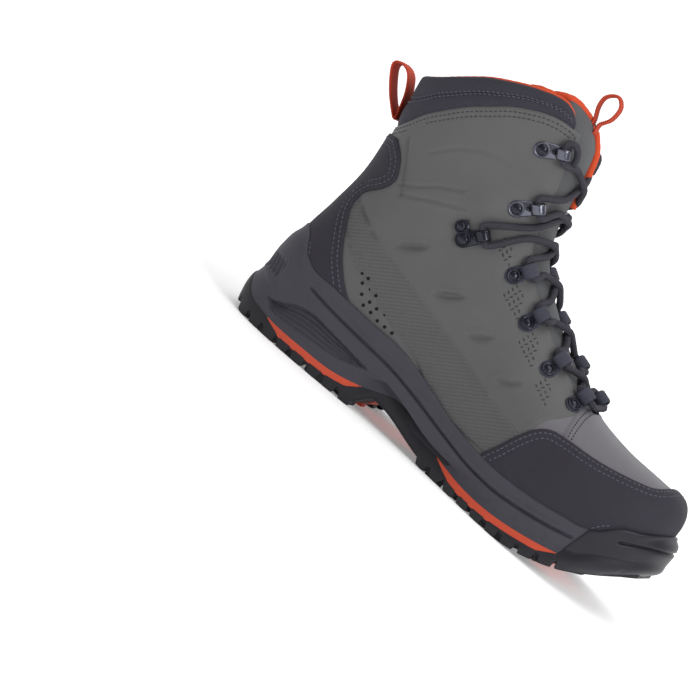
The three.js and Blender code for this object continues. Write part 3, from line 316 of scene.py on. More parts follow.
def line_distance(points, path):
    """Distance to a polyline, and the share of its length where it is nearest."""
    a, b = path[:-1], path[1:]
    run = b - a
    length = np.maximum(np.linalg.norm(run, axis=1), 1e-9)
    before = np.concatenate([[0], np.cumsum(length)[:-1]])
    best = np.full(len(points), 1e9)
    share = np.zeros(len(points))
    side = np.zeros(len(points))
    for start, step, size, done in zip(a, run, length, before):
        off = points - start
        t = np.clip(off @ step / size**2, 0, 1)
        gap = off - t[:, None] * step
        distance = np.linalg.norm(gap, axis=1)
        near = distance < best
        best[near] = distance[near]
        share[near] = ((done + t * size) / length.sum())[near]
        side[near] = (step[0] * off[:, 1] - step[1] * off[:, 0])[near]
    return best, share, np.sign(side)


def inside_distance(points, outline):
    """Distance to a closed outline, above zero inside it."""
    closed = np.vstack([outline, outline[:1]])
    best = line_distance(points, closed)[0]
    x, z = points[:, 0], points[:, 1]
    inside = np.zeros(len(points), bool)
    for (x1, z1), (x2, z2) in zip(closed[:-1], closed[1:]):
        if z1 != z2:
            inside ^= ((z1 > z) != (z2 > z)) & (x < (x2 - x1) * (z - z1) / (z2 - z1) + x1)
    return np.where(inside, best, -best)


def even_steps(lengths_of, low, high, cell, count=2000):
    """Values from low to high whose points lie at most a cell apart."""
    values = np.linspace(low, high, count)
    rows = [np.linalg.norm(np.diff(points, axis=0), axis=1) for points in lengths_of(values)]
    travelled = np.concatenate([[0], np.cumsum(np.max(rows, axis=0))])
    steps = max(2, int(np.ceil(travelled[-1] / cell)))
    return np.interp(np.linspace(0, travelled[-1], steps + 1), travelled, values)


def grid_faces(rows, columns, around=False):
    """The four-cornered faces of a grid of points. Around joins its last column to its first."""
    i, j = (v.ravel() for v in np.meshgrid(np.arange(rows - 1), np.arange(columns - (not around)), indexing="ij"))
    k = (j + 1) % columns
    return np.stack([i * columns + j, i * columns + k, (i + 1) * columns + k, (i + 1) * columns + j], 1).tolist()


def grid_triangles(rows, columns):
    quads = np.array(grid_faces(rows, columns))
    return np.vstack([quads[:, :3], quads[:, [0, 2, 3]]])


def form_grid(stations, turns, cell):
    """Stations and turns of a grid over part of the form, and its triangles."""
    along = even_steps(lambda s: [skin(s, np.full_like(s, t)) for t in np.linspace(*turns, 7)],
                       *stations, cell)
    middle = [stations[0] + (stations[1] - stations[0]) * share for share in (0.3, 0.6, 0.9)]
    around = even_steps(lambda t: [skin(np.full_like(t, s), t) for s in middle], *turns, cell)
    grid = np.stack(np.meshgrid(along, around, indexing="ij"), -1).reshape(-1, 2)
    return grid, grid_triangles(len(along), len(around))


def compact(params, faces):
    used, faces = np.unique(faces, return_inverse=True)
    return params[used], faces.reshape(-1, 3)


def unlike(faces):
    """The triangles whose corners are three different points."""
    a, b, c = faces.T
    return faces[(a != b) & (b != c) & (a != c)]


def clipped(params, faces, value):
    """The part of a sheet whose values are above zero, with new points where its edges cross zero."""
    inside = value >= 0
    sums = inside[faces].sum(1)
    whole = faces[sums == 3]
    corners, crossings = [], []
    for wanted in (1, 2):
        some = faces[sums == wanted]
        first = (inside[some] == (wanted == 1)).argmax(1)
        a, b, c = (some[np.arange(len(some)), (first + k) % 3] for k in range(3))
        corners.append((a, b, c))
        crossings += [(a, b), (a, c)] if wanted == 1 else [(b, a), (c, a)]
    p, q = (np.concatenate(ends).astype(np.int64) for ends in zip(*crossings))
    keys, back = np.unique(p * len(params) + q, return_inverse=True)
    p, q = np.divmod(keys, len(params))
    t = (value[p] / (value[p] - value[q]))[:, None]
    index = np.where(value[p] == 0, p, len(params) + np.arange(len(keys)))[back.ravel()]
    ab, ac, ba, ca = np.split(index, np.cumsum([len(pair[0]) for pair in crossings])[:-1])
    (a, _, _), (_, b, c) = corners
    faces = np.vstack([whole[value[whole].max(1) > 0], np.stack([a, ab, ac], 1),
                       np.stack([ba, b, c], 1), np.stack([ba, c, ca], 1)])
    return compact(np.vstack([params, params[p] * (1 - t) + params[q] * t]), unlike(faces))


def cut(params, faces, field, cell):
    """The part of a sheet where the field is above zero. Its vertices near the line move onto it."""
    value = field(params)
    near = np.abs(value) < 0.45 * cell
    if near.any():
        here, step = params[near], 1e-3
        slope = np.stack([(field(here + off) - field(here - off)) / (2 * step)
                          for off in (np.array([step, 0]), np.array([0, step]))], 1)
        shift = -value[near, None] * slope / np.maximum((slope**2).sum(1, keepdims=True), 1e-9)
        keep = (np.abs(shift) < 0.3).all(1)
        params, value = params.copy(), value.copy()
        params[near] = here + np.where(keep[:, None], shift, 0)
        value[near] = np.where(keep, 0, value[near])
    return clipped(params, faces, value)


def cut_packed(packed, faces, field):
    """The same, but no vertex moves."""
    value = field(packed)
    return clipped(packed, faces, np.where(np.abs(value) < 1e-6, 1e-6, value))


def welded(points, faces, *others):
    """Points that lie together become one."""
    keys = np.round(points / 0.02 + 0.317).astype(np.int64)
    _, first, back = np.unique(keys, axis=0, return_index=True, return_inverse=True)
    return (points[first], unlike(back.ravel()[faces]), *(other[first] for other in others))


def on_skin(params):
    return skin(params[:, 0], params[:, 1])


def joined(params, faces):
    """A sheet's welded points on the form, its faces, and its stations and turns."""
    return welded(on_skin(params), faces, params)


def border_edges(faces):
    edges = np.vstack([faces[:, [0, 1]], faces[:, [1, 2]], faces[:, [2, 0]]])
    size = faces.max() + 1
    own = edges[:, 0].astype(np.int64) * size + edges[:, 1]
    other = edges[:, 1].astype(np.int64) * size + edges[:, 0]
    return edges[~np.isin(own, other)]


def near_tree(points):
    tree = KDTree(len(points))
    for i, point in enumerate(points):
        tree.insert(point, i)
    tree.balance()
    return tree


def border_distance(points, faces, limit=12.0):
    starts, ends = (points[column] for column in border_edges(faces).T)
    tree = near_tree(np.vstack([starts, (starts + ends) / 2]))
    return np.array([min(limit, tree.find(point)[2]) for point in points])


def away_from(top, low, edges):
    """Directions that lead away from a sheet at its border."""
    along = np.zeros_like(top)
    step = unit(top[edges[:, 1]] - top[edges[:, 0]])
    for end in (0, 1):
        np.add.at(along, edges[:, end], step)
    return unit(np.cross(unit(along), unit(top - low)))


def with_rim(top, faces, edges, rings, back=None):
    """A sheet with rings of points behind its border and, where one is given, its back."""
    rim = np.unique(edges)
    index = np.full(len(top), -1)
    index[rim] = np.arange(len(rim))
    a, b = index[edges[:, 0]], index[edges[:, 1]]
    points, made, upper, count = [top], [faces], rim, len(top)
    for ring in rings + ([] if back is None else [back]):
        lower = count + (rim if ring is back else np.arange(len(rim)))
        made += [np.stack([upper[b], upper[a], lower[a]], 1), np.stack([upper[b], lower[a], lower[b]], 1)]
        points.append(ring)
        upper, count = lower, count + len(ring)
    if back is not None:
        made.append(faces[:, ::-1] + count - len(back))
    return np.vstack(points), np.vstack(made)


def shell(params, faces, outer, inner, bulge, rows=3, closed=True):
    """A sheet of the form with a rounded rim: outer and inner give the lift at its points."""
    places, faces, params = joined(params, faces)
    distance = border_distance(places, faces)
    top, low = (form(params[:, 0], params[:, 1], lift(params, places, distance)) for lift in (outer, inner))
    edges = border_edges(faces)
    rim = np.unique(edges)
    away = away_from(top, low, edges)[rim]
    centre, arm = (top[rim] + low[rim]) / 2, (top[rim] - low[rim]) / 2
    rings = [centre + arm * np.cos(angle) + away * bulge * np.sin(angle)
             for angle in PI * np.arange(1, rows + 1) / (rows + 1)]
    if closed:
        return with_rim(top, faces, edges, rings, low)
    return with_rim(top, faces, edges, rings + [low[rim]])


# ---------------------------------------------------------------- meshes and materials
SPECULAR = 0.3
BLOTCH_SCALE = 40
GLOSS_SPREAD = 0.1
BUMP_DISTANCE = 0.0006


def linear(colour):
    c = np.array(colour, float) / 255
    return np.where(c <= 0.04045, c / 12.92, ((c + 0.055) / 1.055) ** 2.4)


def node(tree, kind, **values):
    made = tree.nodes.new(kind)
    for name, value in values.items():
        setattr(made, name, value)
    return made


def maths(tree, operation, *inputs):
    """A sum of sockets and numbers, as a socket."""
    made = node(tree, "ShaderNodeMath", operation=operation)
    for socket, value in zip(made.inputs, inputs):
        if isinstance(value, bpy.types.NodeSocket):
            tree.links.new(value, socket)
        else:
            socket.default_value = value
    return made.outputs[0]


def ramped(tree, source, low, high):
    made = node(tree, "ShaderNodeMapRange")
    made.inputs["To Min"].default_value = low
    made.inputs["To Max"].default_value = high
    tree.links.new(source, made.inputs["Value"])
    return made.outputs["Result"]


def crossed_waves(tree, operation, *pitches):
    """Threads or squares that follow the piece's own map, in millimetres."""
    chart = node(tree, "ShaderNodeUVMap", uv_map="threads")
    parts = node(tree, "ShaderNodeSeparateXYZ")
    tree.links.new(chart.outputs["UV"], parts.inputs[0])
    return maths(tree, operation, *(
        maths(tree, "SINE", maths(tree, "MULTIPLY", parts.outputs[axis], 2 * PI / pitch))
        for axis, pitch in enumerate(pitches)))


def surface(name, colour, rough, grain, bump, spread, metal=0.0, weave=None):
    """A material whose colour, gloss and relief vary over its face."""
    material = bpy.data.materials.new(name)
    material.use_nodes = True
    tree = material.node_tree
    link = tree.links.new
    shader = tree.nodes["Principled BSDF"]
    shader.inputs["Metallic"].default_value = metal
    if metal == 0:
        shader.inputs["Specular IOR Level"].default_value = SPECULAR
    place = node(tree, "ShaderNodeTexCoord")
    noises = []
    for scale, detail in ((grain, 3), (BLOTCH_SCALE, 4)):
        texture = node(tree, "ShaderNodeTexNoise")
        texture.inputs["Scale"].default_value = scale
        texture.inputs["Detail"].default_value = detail
        link(place.outputs["Object"], texture.inputs["Vector"])
        noises.append(texture.outputs["Fac"])
    fine, broad = noises
    mix = node(tree, "ShaderNodeMix", data_type="RGBA")
    base = linear(colour)
    mix.inputs["A"].default_value = (*(base * (1 - spread)), 1)
    mix.inputs["B"].default_value = (*np.minimum(base * (1 + spread), 1), 1)
    link(maths(tree, "ADD", ramped(tree, broad, -0.2, 0.9), ramped(tree, fine, -0.2, 0.5)), mix.inputs["Factor"])
    link(mix.outputs["Result"], shader.inputs["Base Color"])
    link(ramped(tree, broad, rough - GLOSS_SPREAD, rough + GLOSS_SPREAD), shader.inputs["Roughness"])
    height = fine
    if weave:
        across, along, amount = weave
        height = maths(tree, "MULTIPLY_ADD", crossed_waves(tree, "MAXIMUM", across, along), amount, height)
    relief = node(tree, "ShaderNodeBump")
    relief.inputs["Strength"].default_value = bump
    relief.inputs["Distance"].default_value = BUMP_DISTANCE
    link(height, relief.inputs["Height"])
    link(relief.outputs["Normal"], shader.inputs["Normal"])
    return material


def squared_band(material, pitch, amount, shade, ground):
    """Adds small raised squares, and a darker ground, where the piece's 'band' value is above zero. The squares'
    colour is painted shade: lighter on their raised tops, darker in the gaps between them.
    """
    tree = material.node_tree
    band = node(tree, "ShaderNodeAttribute", attribute_name="band").outputs["Fac"]
    masked = maths(tree, "MULTIPLY", crossed_waves(tree, "MULTIPLY", pitch, pitch), band)
    height = next(n for n in tree.nodes if n.type == "BUMP").inputs["Height"]
    tree.links.new(maths(tree, "MULTIPLY_ADD", masked, amount, height.links[0].from_socket), height)
    # Painted shade: the colour follows the squares' height, lighter on top and darker in the gaps.
    band_tone_and_painted_shade = maths(tree, "MULTIPLY_ADD", masked, shade, maths(tree, "MULTIPLY_ADD", band, ground, 1.0))
    colour = tree.nodes["Principled BSDF"].inputs["Base Color"]
    tint = node(tree, "ShaderNodeVectorMath", operation="SCALE")
    tree.links.new(colour.links[0].from_socket, tint.inputs[0])
    tree.links.new(band_tone_and_painted_shade, tint.inputs["Scale"])
    tree.links.new(tint.outputs[0], colour)


def linked_object(name, data):
    made = bpy.data.objects.new(name, data)
    bpy.context.scene.collection.objects.link(made)
    return made


def mesh_object(name, points, faces, material, uv=None, smooth=True, ride=True):
    mesh = bpy.data.meshes.new(name)
    mesh.from_pydata((np.asarray(points) * 0.001).tolist(), [], [list(face) for face in faces])
    mesh.validate()
    mesh.polygons.foreach_set("use_smooth", [smooth] * len(mesh.polygons))
    mesh.materials.append(material)
    if uv is not None:
        layer = mesh.uv_layers.new(name="threads")
        loops = np.zeros(len(mesh.loops), int)
        mesh.loops.foreach_get("vertex_index", loops)
        layer.data.foreach_set("uv", np.asarray(uv, float)[loops].ravel())
    made = linked_object(name, mesh)
    if ride:
        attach(made, "root")
    return made


def facing_out(made):
    """Recalculates the normals of a closed piece."""
    work = bmesh.new()
    work.from_mesh(made.data)
    bmesh.ops.recalc_face_normals(work, faces=work.faces)
    work.to_mesh(made.data)
    work.free()


def piece(name, points, faces, material, slot, *replaced, closed=False, **how):
    """A mesh which stands for the CAD nodes named, and hides them. The slot is not used. A closed one gets new
    normals.
    """
    made = mesh_object(name, points, faces, MATERIALS[material], **how)
    if closed:
        facing_out(made)
    if replaced:
        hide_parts(*replaced)
    return made


MATERIALS = {
    "quarter": surface("Grey coated leather", (87, 87, 88), 0.55, 1500, 0.14, 0.1),
    # The vamp uses the quarter's grey leather painted lighter: painted light where the front faces up towards the
    # lamps.
    "vamp": surface("Grey coated leather with painted light", (104, 102, 107), 0.55, 1500, 0.14, 0.1),
    "overlay": surface("Black nubuck", (45, 43, 51), 0.75, 1900, 0.35, 0.22),
    "collar": surface("Collar cloth", (50, 49, 58), 0.8, 1600, 0.5, 0.25),
    "tongue": surface("Tongue cloth", (84, 85, 87), 0.75, 1400, 0.3, 0.15),
    "piping": surface("Orange piping", (200, 72, 36), 0.75, 1400, 0.3, 0.15),
    "midsole": surface("Slate foam", (62, 61, 69), 0.6, 1800, 0.12, 0.12),
    "rubber": surface("Black rubber", (33, 33, 38), 0.6, 1500, 0.16, 0.15),
    "bumper": surface("Toe rubber", (34, 33, 40), 0.42, 1500, 0.06, 0.1),
    "inlay": surface("Orange rubber", (192, 74, 50), 0.5, 1200, 0.1, 0.1),
    "webbing": surface("Orange webbing", (182, 62, 36), 0.75, 1200, 0.35, 0.25),
    "strap": surface("Grey webbing", (58, 59, 71), 0.7, 1600, 0.35, 0.2),
    "metal": surface("Dark lacquered metal", (96, 97, 108), 0.24, 600, 0.03, 0.12, metal=0.9),
    "dark": surface("Black metal", (40, 41, 50), 0.2, 600, 0.03, 0.12, metal=0.7),
    "thread": surface("Dark thread", (80, 78, 90), 0.6, 2500, 0.2, 0.1),
    "grey thread": surface("Grey thread", (56, 56, 58), 0.7, 2500, 0.2, 0.1),
    "olive thread": surface("Olive thread", (58, 57, 52), 0.75, 2000, 0.2, 0.2),
    # Painted shade: a near-black colour that stands for the shade inside each hole.
    "hole": surface("Hole", (14, 14, 15), 0.9, 800, 0.0, 0.1),
    "lace": surface("Braided lace", (58, 56, 64), 0.85, 2400, 0.5, 0.2, weave=(1.5, 1.7, 0.9)),
    "insole": surface("Insole cloth", (46, 46, 51), 0.92, 1200, 0.4, 0.2),
    "paper": surface("Studio paper", (246, 246, 246), 0.9, 30, 0.0, 0.01),
}
# The quarter's band: raised squares with painted shade in the gaps between them.
squared_band(MATERIALS["quarter"], 2.6, 1.6, 0.2, -0.12)

CELL = 1.7


def constant(value):
    return lambda params, places, distance: np.full(len(params), float(value))


def side_field(function):
    """A field on the form that depends on where its point lies in the side view."""
    return lambda params: function(on_skin(params)[:, [0, 2]])


def above(line):
    return side_field(lambda p: p[:, 1] - line(p[:, 0]))


# ---------------------------------------------------------------- upper
def throat_gap(params, extra=0.0):
    """Distance outside the throat's edge."""
    station, turn = params[:, 0], params[:, 1]
    point = skin(station, turn)
    start = np.clip((station - 4.8) / 0.55, 0, 1)
    full = 17 + 7 * (station - THROAT[0]) / (THROAT[1] - THROAT[0])
    half = full * np.sqrt(np.clip(1 - (1 - start) ** 2, 0, 1)) - (station < 4.8) * 6
    gap = np.abs(point[:, 1] - section_curves[5](station)) - half - extra
    return np.where(np.cos(turn) > 0, gap, 20.0)


def under_seam(params):
    """Below the collar seam, and open ahead of its front end."""
    p = on_skin(params)
    return np.where(p[:, 0] < SEAM_FRONT, seam_line(p[:, 0]) - p[:, 2], TONGUE_OPEN - p[:, 2])


SEAM_VAMP = smooth_path([(146, 40), (149, 64), (151.7, 73), (156.9, 79.8), (160.5, 86), (163, 96)], 6)
SEAM_TOE = smooth_path([(169, 60), (166.5, 70.8), (163.5, 79), (160, 89), (158.5, 97)], 6)
VAMP_UNDERLAP = 5
toe_x = curve_through(SEAM_TOE[:, 1], SEAM_TOE[:, 0])


def ahead_of(path, sign=1):
    """Above zero ahead of a line of the side view, or behind it with sign -1."""
    x_of = curve_through(path[:, 1], path[:, 0])
    return side_field(lambda p: sign * (p[:, 0] - x_of(p[:, 1])))


BAND_TOP = smooth_path([(-38, 104.5), (-28, 101), (-13, 94.5), (-3, 90.5), (17.5, 86), (33, 82.5),
                        (48.5, 78.5), (69, 73.6), (84.5, 69.8), (100, 66), (120.5, 61), (131, 59), (160, 54)], 5)
BAND_LOW = smooth_path([(-39, 95), (-33, 88), (-22.5, 82), (-12, 76), (-2, 70.5), (8.5, 66), (19, 61.5),
                        (29, 58), (39, 55), (49.5, 52.5), (65, 48), (80, 40), (90, 34)], 5)
band_top = curve_through(BAND_TOP[:, 0], BAND_TOP[:, 1])
band_low = curve_through(BAND_LOW[:, 0], BAND_LOW[:, 1])

# Lens-shaped dents: both ends in the side view, depth, width
DENTS = [((9, 95.5), (27, 108), 3.1, 3.4), ((45, 86.5), (63.5, 98.5), 3.0, 3.2),
         ((78, 79.5), (92.5, 90.5), 2.8, 3.0), ((109, 70.5), (125.5, 80), 2.5, 2.8)]
# Embossed lines: points, depth, width
EMBOSS = [(smooth_path(stops, 6), depth, width) for stops, depth, width in (
    ([(-28, 151), (-18, 136), (-8, 121)], 1.1, 0.9),
    ([(-13, 125.5), (-3, 131), (8, 139.5), (22, 147)], 1.1, 0.9),
    ([(-8, 120.5), (2, 126), (13, 131.5), (30, 139)], 1.1, 0.9),
    ([(-10, 152), (4, 166), (20, 175), (34, 177)], 0.7, 1.1))]


def upper_relief(places):
    """How far the quarter's face stands out or in, from the side view."""
    side = places[:, [0, 2]]
    x, z = side[:, 0], side[:, 1]
    lift = np.zeros(len(side))
    for start, end, depth, width in DENTS:
        path = smooth_path([start, end], 2)
        distance, share, flank = line_distance(side, path)
        lens = np.sin(PI * np.clip(share, 0, 1)) ** 0.7
        reach = np.where(flank > 0, width * 0.34, width * 0.95) * (0.3 + 0.7 * lens)
        lift -= depth * lens * bell(distance, reach)
        lift += 0.5 * lens * np.where(flank > 0, bell(distance - 2.2, 2.0), 0)
    for path, depth, width in EMBOSS:
        lift -= depth * bell(line_distance(side, path)[0], width)
    for line in (band_top, band_low):
        lift -= 1.0 * bell(z - line(x), 0.9) * (x < 150)
    inside = soften((z - band_low(x)) / 2.5) * soften((band_top(x) - z) / 2.5)
    lift -= 0.35 * inside
    # soft waves of the leather above the band and round the ankle
    lift += 0.5 * np.sin(x / 11.0 + z / 17.0) * bell(z - 112, 24)
    lift += 0.7 * bell(z - 139 - 0.5 * (x - 20), 9) * bell(x - 34, 22)
    lift -= 0.8 * bell(z - 128 - 0.5 * (x - 20), 6) * bell(x - 40, 20)
    return lift


def band_chart(places):
    """Millimetres along and across the textured band."""
    x, z = places[:, 0], places[:, 2]
    return np.stack([x, z + 0.36 * x], -1)


def band_share(places):
    """1 inside the textured band, 0 outside it."""
    x, z = places[:, 0], places[:, 2]
    return soften((z - band_low(x)) / 1.6) * soften((band_top(x) - z) / 1.6) * soften((168 - x) / 4)


def seam_rows(distance, first, second, depth):
    """Two sewn grooves along a border."""
    return depth * bell(distance - first, 0.7) + depth * bell(distance - second, 0.7)


def quarter_lift(params, places, distance):
    edge = 0.9 * np.clip(1 - distance / 1.5, 0, 1) ** 2
    hidden = places[:, 2] < rim_line(places[:, 0]) + 2
    return 0.35 + upper_relief(places) - edge - np.where(hidden, 0, seam_rows(distance, *QUARTER_ROWS, 0.3))


def vamp_lift(params, places, distance):
    """The vamp runs on under the quarter, and its toe piece lies over its side piece."""
    return -0.75 + 0.75 * soften(places[:, 0] - toe_x(places[:, 2]) + 0.5)


def cut_all(grid, fields, cell):
    for field in fields:
        grid = cut(*grid, field, cell)
    return grid


QUARTER_ROWS, OVERLAY_ROWS = (3.0, 6.0), (2.6, 6.2)
bottom = above(lambda x: np.maximum(rim_line(x) - 9, bed_line(x) + 0.5))
grid = cut_all(form_grid((0, LAST), (-PI, PI), CELL), (bottom, under_seam, throat_gap), CELL)
quarter_sheet = cut(*grid, ahead_of(SEAM_VAMP, -1), CELL)
vamp_sheet = cut(*grid, ahead_of(SEAM_VAMP - [VAMP_UNDERLAP, 0]), CELL)
points, faces = shell(*quarter_sheet, quarter_lift, constant(-UPPER_WALL), 0.4)
quarter = piece("quarter", points, faces, "quarter", "upper_leather", "upper", uv=band_chart(points))
band = quarter.data.attributes.new("band", "FLOAT", "POINT")
band.data.foreach_set("value", band_share(points))
# The vamp's colour is the quarter's leather painted lighter, as painted light.
piece("vamp", *shell(*vamp_sheet, vamp_lift, constant(-UPPER_WALL), 0.4), "vamp", "upper_leather")

# ---------------------------------------------------------------- overlays
RAND = side_outline([
    (0.607, 0.11), (0.609, 0.224), (0.626, 0.307), (0.644, 0.4), (0.661, 0.463), (0.684, 0.5),
    (0.717, 0.512), (0.782, 0.524), (0.828, 0.541), (0.87, 0.562), (0.897, 0.58), (0.912, 0.612),
    (0.915, 0.68), (0.95, 0.75), (1.06, 0.75), (1.06, 0.11), (0.8, 0.05)])
COUNTER = side_outline([
    (-0.1, 0.1), (-0.12, 0.5), (-0.1, 1.0), (0, 1.01), (0.04, 1.018), (0.078, 1.032), (0.086, 1.025),
    (0.112, 0.985), (0.129, 0.93), (0.134, 0.886), (0.122, 0.829), (0.098, 0.771), (0.091, 0.714),
    (0.096, 0.664), (0.114, 0.595), (0.13, 0.543), (0.151, 0.479), (0.176, 0.421), (0.198, 0.379),
    (0.223, 0.347), (0.24, 0.334), (0.25, 0.1)])


def overlay_lift(params, places, distance):
    edge = 0.5 * np.clip(1 - distance / 1.6, 0, 1) ** 2
    return 1.95 - edge - seam_rows(distance, *OVERLAY_ROWS, 0.35)


def overlay_piece(name, outline, stations, node_name):
    inside = side_field(lambda p: inside_distance(p, outline))
    sheet = cut_all(form_grid(stations, (-PI, PI), CELL * 0.9), (inside, above(lambda x: rim_line(x) - 6.5)),
                    CELL * 0.9)
    piece(name, *shell(*sheet, overlay_lift, constant(-0.4), 0.4, closed=False), "overlay", "overlay_nubuck",
          node_name)
    return sheet


rand_sheet = overlay_piece("toe_overlay", RAND, (0, 7), "toe_rand")
counter_sheet = overlay_piece("heel_overlay", COUNTER, (6.5, 15), "heel_counter")

# ---------------------------------------------------------------- collar and tongue
TIER = 0.52


def over_seam(params):
    p = on_skin(params)
    return p[:, 2] - seam_line(p[:, 0]) - CLEARANCE


def under_brim(params):
    p = on_skin(params)
    front = (BRIM_FRONT - p[:, 0]) * 2.0
    return np.minimum(brim_line(np.minimum(p[:, 0], BRIM_FRONT)) - 2.5 - p[:, 2], front)


def collar_share(places):
    x, z = places[:, 0], places[:, 2]
    return (z - seam_line(x)) / np.maximum(brim_line(np.minimum(x, BRIM_FRONT)) - seam_line(x), 4)


def collar_lift(params, places, distance):
    """Two padded tiers with a sewn crease between them."""
    share = collar_share(places)
    tiers = np.abs(np.sin(PI * np.clip(share / TIER, 0, 1))) ** 0.6 * (share < TIER) * 1.6
    tiers += np.abs(np.sin(PI * np.clip((share - TIER) / 0.62, 0, 1))) ** 0.6 * (share >= TIER) * 1.5
    wrinkles = 0.25 * np.sin(places[:, 0] * 0.55 + places[:, 1] * 0.3 + 6 * share) * (share > 0.1)
    return -0.9 + tiers + wrinkles * soften(distance / 4)


collar_sheet = cut_all(form_grid((11.5, LAST), (-PI, PI), CELL * 0.8),
                       (over_seam, lambda p: throat_gap(p, 1.0), under_brim), CELL * 0.8)
collar = piece("collar_pad", *shell(*collar_sheet, collar_lift, constant(-8.0), 3.4, rows=6), "collar",
               "collar_fabric", "collar")


def tongue_region(params):
    station = params[:, 0]
    p = skin(station, params[:, 1])
    half = 29 * np.sqrt(np.clip((station - 4.5) / 0.6, 0, 1))
    wide = half - np.abs(p[:, 1] - section_curves[5](station))
    wing = np.where((station > 13.5) & (params[:, 1] < 0), (1.42 + params[:, 1]) * 36, -20)
    wide = np.maximum(wide, wing)
    return np.where(np.cos(params[:, 1]) > 0, wide, -20)


tongue_curve = curve_through([-60, 8, 13, 18, 25, 43.6, 53.6, 72, 260],
                             [200, 207, 215.5, 219.3, 221.6, 223.6, 222.3, 214, 209])


def tongue_top(p):
    """Height of the tongue's top over a place; it slopes down to the outer side."""
    return tongue_curve(p[..., 0]) - 0.28 * np.maximum(p[..., 1] - 2, 0)


def under_tongue_top(params):
    p = on_skin(params)
    return tongue_top(p) - p[:, 2]

def tuck(params, places):
    """The tongue's wing lies inside the collar."""
    aside = np.abs(places[:, 1] - section_curves[5](params[:, 0]))
    return 0.75 * np.clip(aside - 26, 0, 9) * soften((params[:, 0] - 13.2) / 1.2)


def lean_back(points):
    """The tongue's top bends back over the opening."""
    x, z = points[:, 0], points[:, 2]
    share = soften((z - 212) / 12) * soften((x - 22) / 20)
    moved = np.array(points, float)
    moved[:, 0] -= 12 * share
    rise = 6 + 3.5 * soften(0.5 - points[:, 1] / 16)
    moved[:, 2] += rise * share * soften((x - 30) / 30)
    return moved


def tongue_lift(params, places, distance):
    """Soft pads between the strands, and a roll at the top."""
    z = places[:, 2]
    pads = 0.175 * np.sin(z / 4.6) * soften((z - 120) / 20)
    roll = 1.2 * bell(z - 221, 5)
    middle = 0.48 * bell(places[:, 1], 14) * soften((z - 140) / 25)
    return -3.0 + pads + roll + middle - tuck(params, places)


tongue_sheet = cut_all(form_grid((4.4, LAST), (-1.6, 1.6), CELL), (tongue_region, under_tongue_top), CELL)
points, faces = shell(*tongue_sheet, tongue_lift, lambda q, p, d: -8.6 - tuck(q, p), 2.6, rows=5)
tongue = piece("tongue_pad", lean_back(points), faces, "tongue", "tongue_fabric", "tongue")

# ---------------------------------------------------------------- sole
def form_tree(lift, along=130, around=120):
    """The upper's form as a tree for rays."""
    stations, turns = np.linspace(0, 13, along + 1), np.linspace(-PI, PI, around + 1)
    grid = np.stack(np.meshgrid(stations, turns, indexing="ij"), -1).reshape(-1, 2)
    points = form(grid[:, 0], grid[:, 1], np.full(len(grid), float(lift)))
    return BVHTree.FromPolygons(points.tolist(), grid_faces(along + 1, around + 1))


lip_tree = form_tree(CLEARANCE + LIP_WALL)
cap_tree = form_tree(2 * CLEARANCE + 1.6 + 2.0)


def reach_to(tree, places, outward, heights, start=25.0):
    """How far outside the plan's outline a form lies at given heights."""
    found = np.full(len(places), -60.0)
    for i, (place, away, height) in enumerate(zip(places, outward, heights)):
        origin = Vector((place[0] + away[0] * start, place[1] + away[1] * start, height))
        hit = tree.ray_cast(origin, Vector((-away[0], -away[1], 0)), 80)
        if hit[0] is not None:
            found[i] = start - hit[3]
    return found


def smooth_max(a, b, soft=0.8):
    return soft * np.logaddexp(a / soft, b / soft)


AROUND = 560
UPWARD = 84
wall_turns = (np.arange(AROUND) + 0.5) * 2 * PI / AROUND
wall_shares = np.linspace(0, 1, UPWARD)


def wall_places(tree, extra):
    """Plan place, outward direction, distance out and height for a grid over the side of the sole."""
    turn, share = (values.ravel() for values in np.meshgrid(wall_turns, wall_shares, indexing="ij"))
    place, away = plan_point(turn), plan_outward(turn)
    out = wall_out(share) * STACK + extra
    x = place[:, 0] + away[:, 0] * out
    low = ground_line(x)
    height = low + share * (rim_line(x) - low)
    near = share > 0.45
    hug = np.full(len(turn), -60.0)
    hug[near] = reach_to(tree, place[near], away[near], height[near])
    out = np.where(near, smooth_max(out, hug), out)
    return np.column_stack([place, away, out, height])


def wall_sheet(tree, extra, field, relief, bulge, name, material, *slot_and_node):
    """A band of the sole's side where a field is above zero, with a rounded rim that turns inwards."""
    def spot(packed, lift=0.0):
        reach = packed[:, 4] + lift
        return np.stack([packed[:, 0] + packed[:, 2] * reach, packed[:, 1] + packed[:, 3] * reach,
                         packed[:, 5]], -1)

    i, j = (values.ravel() for values in np.meshgrid(np.arange(AROUND), np.arange(UPWARD - 1), indexing="ij"))
    a, b = i * UPWARD + j, (i + 1) % AROUND * UPWARD + j
    faces = np.vstack([np.stack([a, a + 1, b + 1], 1), np.stack([a, b + 1, b], 1)])
    packed, faces = cut_packed(wall_places(tree, extra), faces, lambda p: field(spot(p)))
    points, faces, packed = welded(spot(packed), faces, packed)
    top = spot(packed, relief(points))
    low = spot(packed, -7.0)
    edges = border_edges(faces)
    rim = np.unique(edges)
    away, inward = away_from(top, low, edges)[rim], unit(low - top)[rim]
    rings = [top[rim] + inward * bulge * (1 - np.cos(angle)) + away * bulge * np.sin(angle)
             for angle in (0.5, 1.0, 1.5707)]
    rings.append(top[rim] + inward * (bulge + 6.0) + away * bulge)
    piece(name, *with_rim(top, faces, edges, rings), material, *slot_and_node)


BUMPER = np.array([[0.846, 0.35], [0.862, 0.69], [0.87, 0.88], [0.88, 1.02], [0.93, 1.24], [1.03, 1.6]])
bumper_x = curve_through(BUMPER[:, 1] * STACK, x_at(BUMPER[:, 0]))


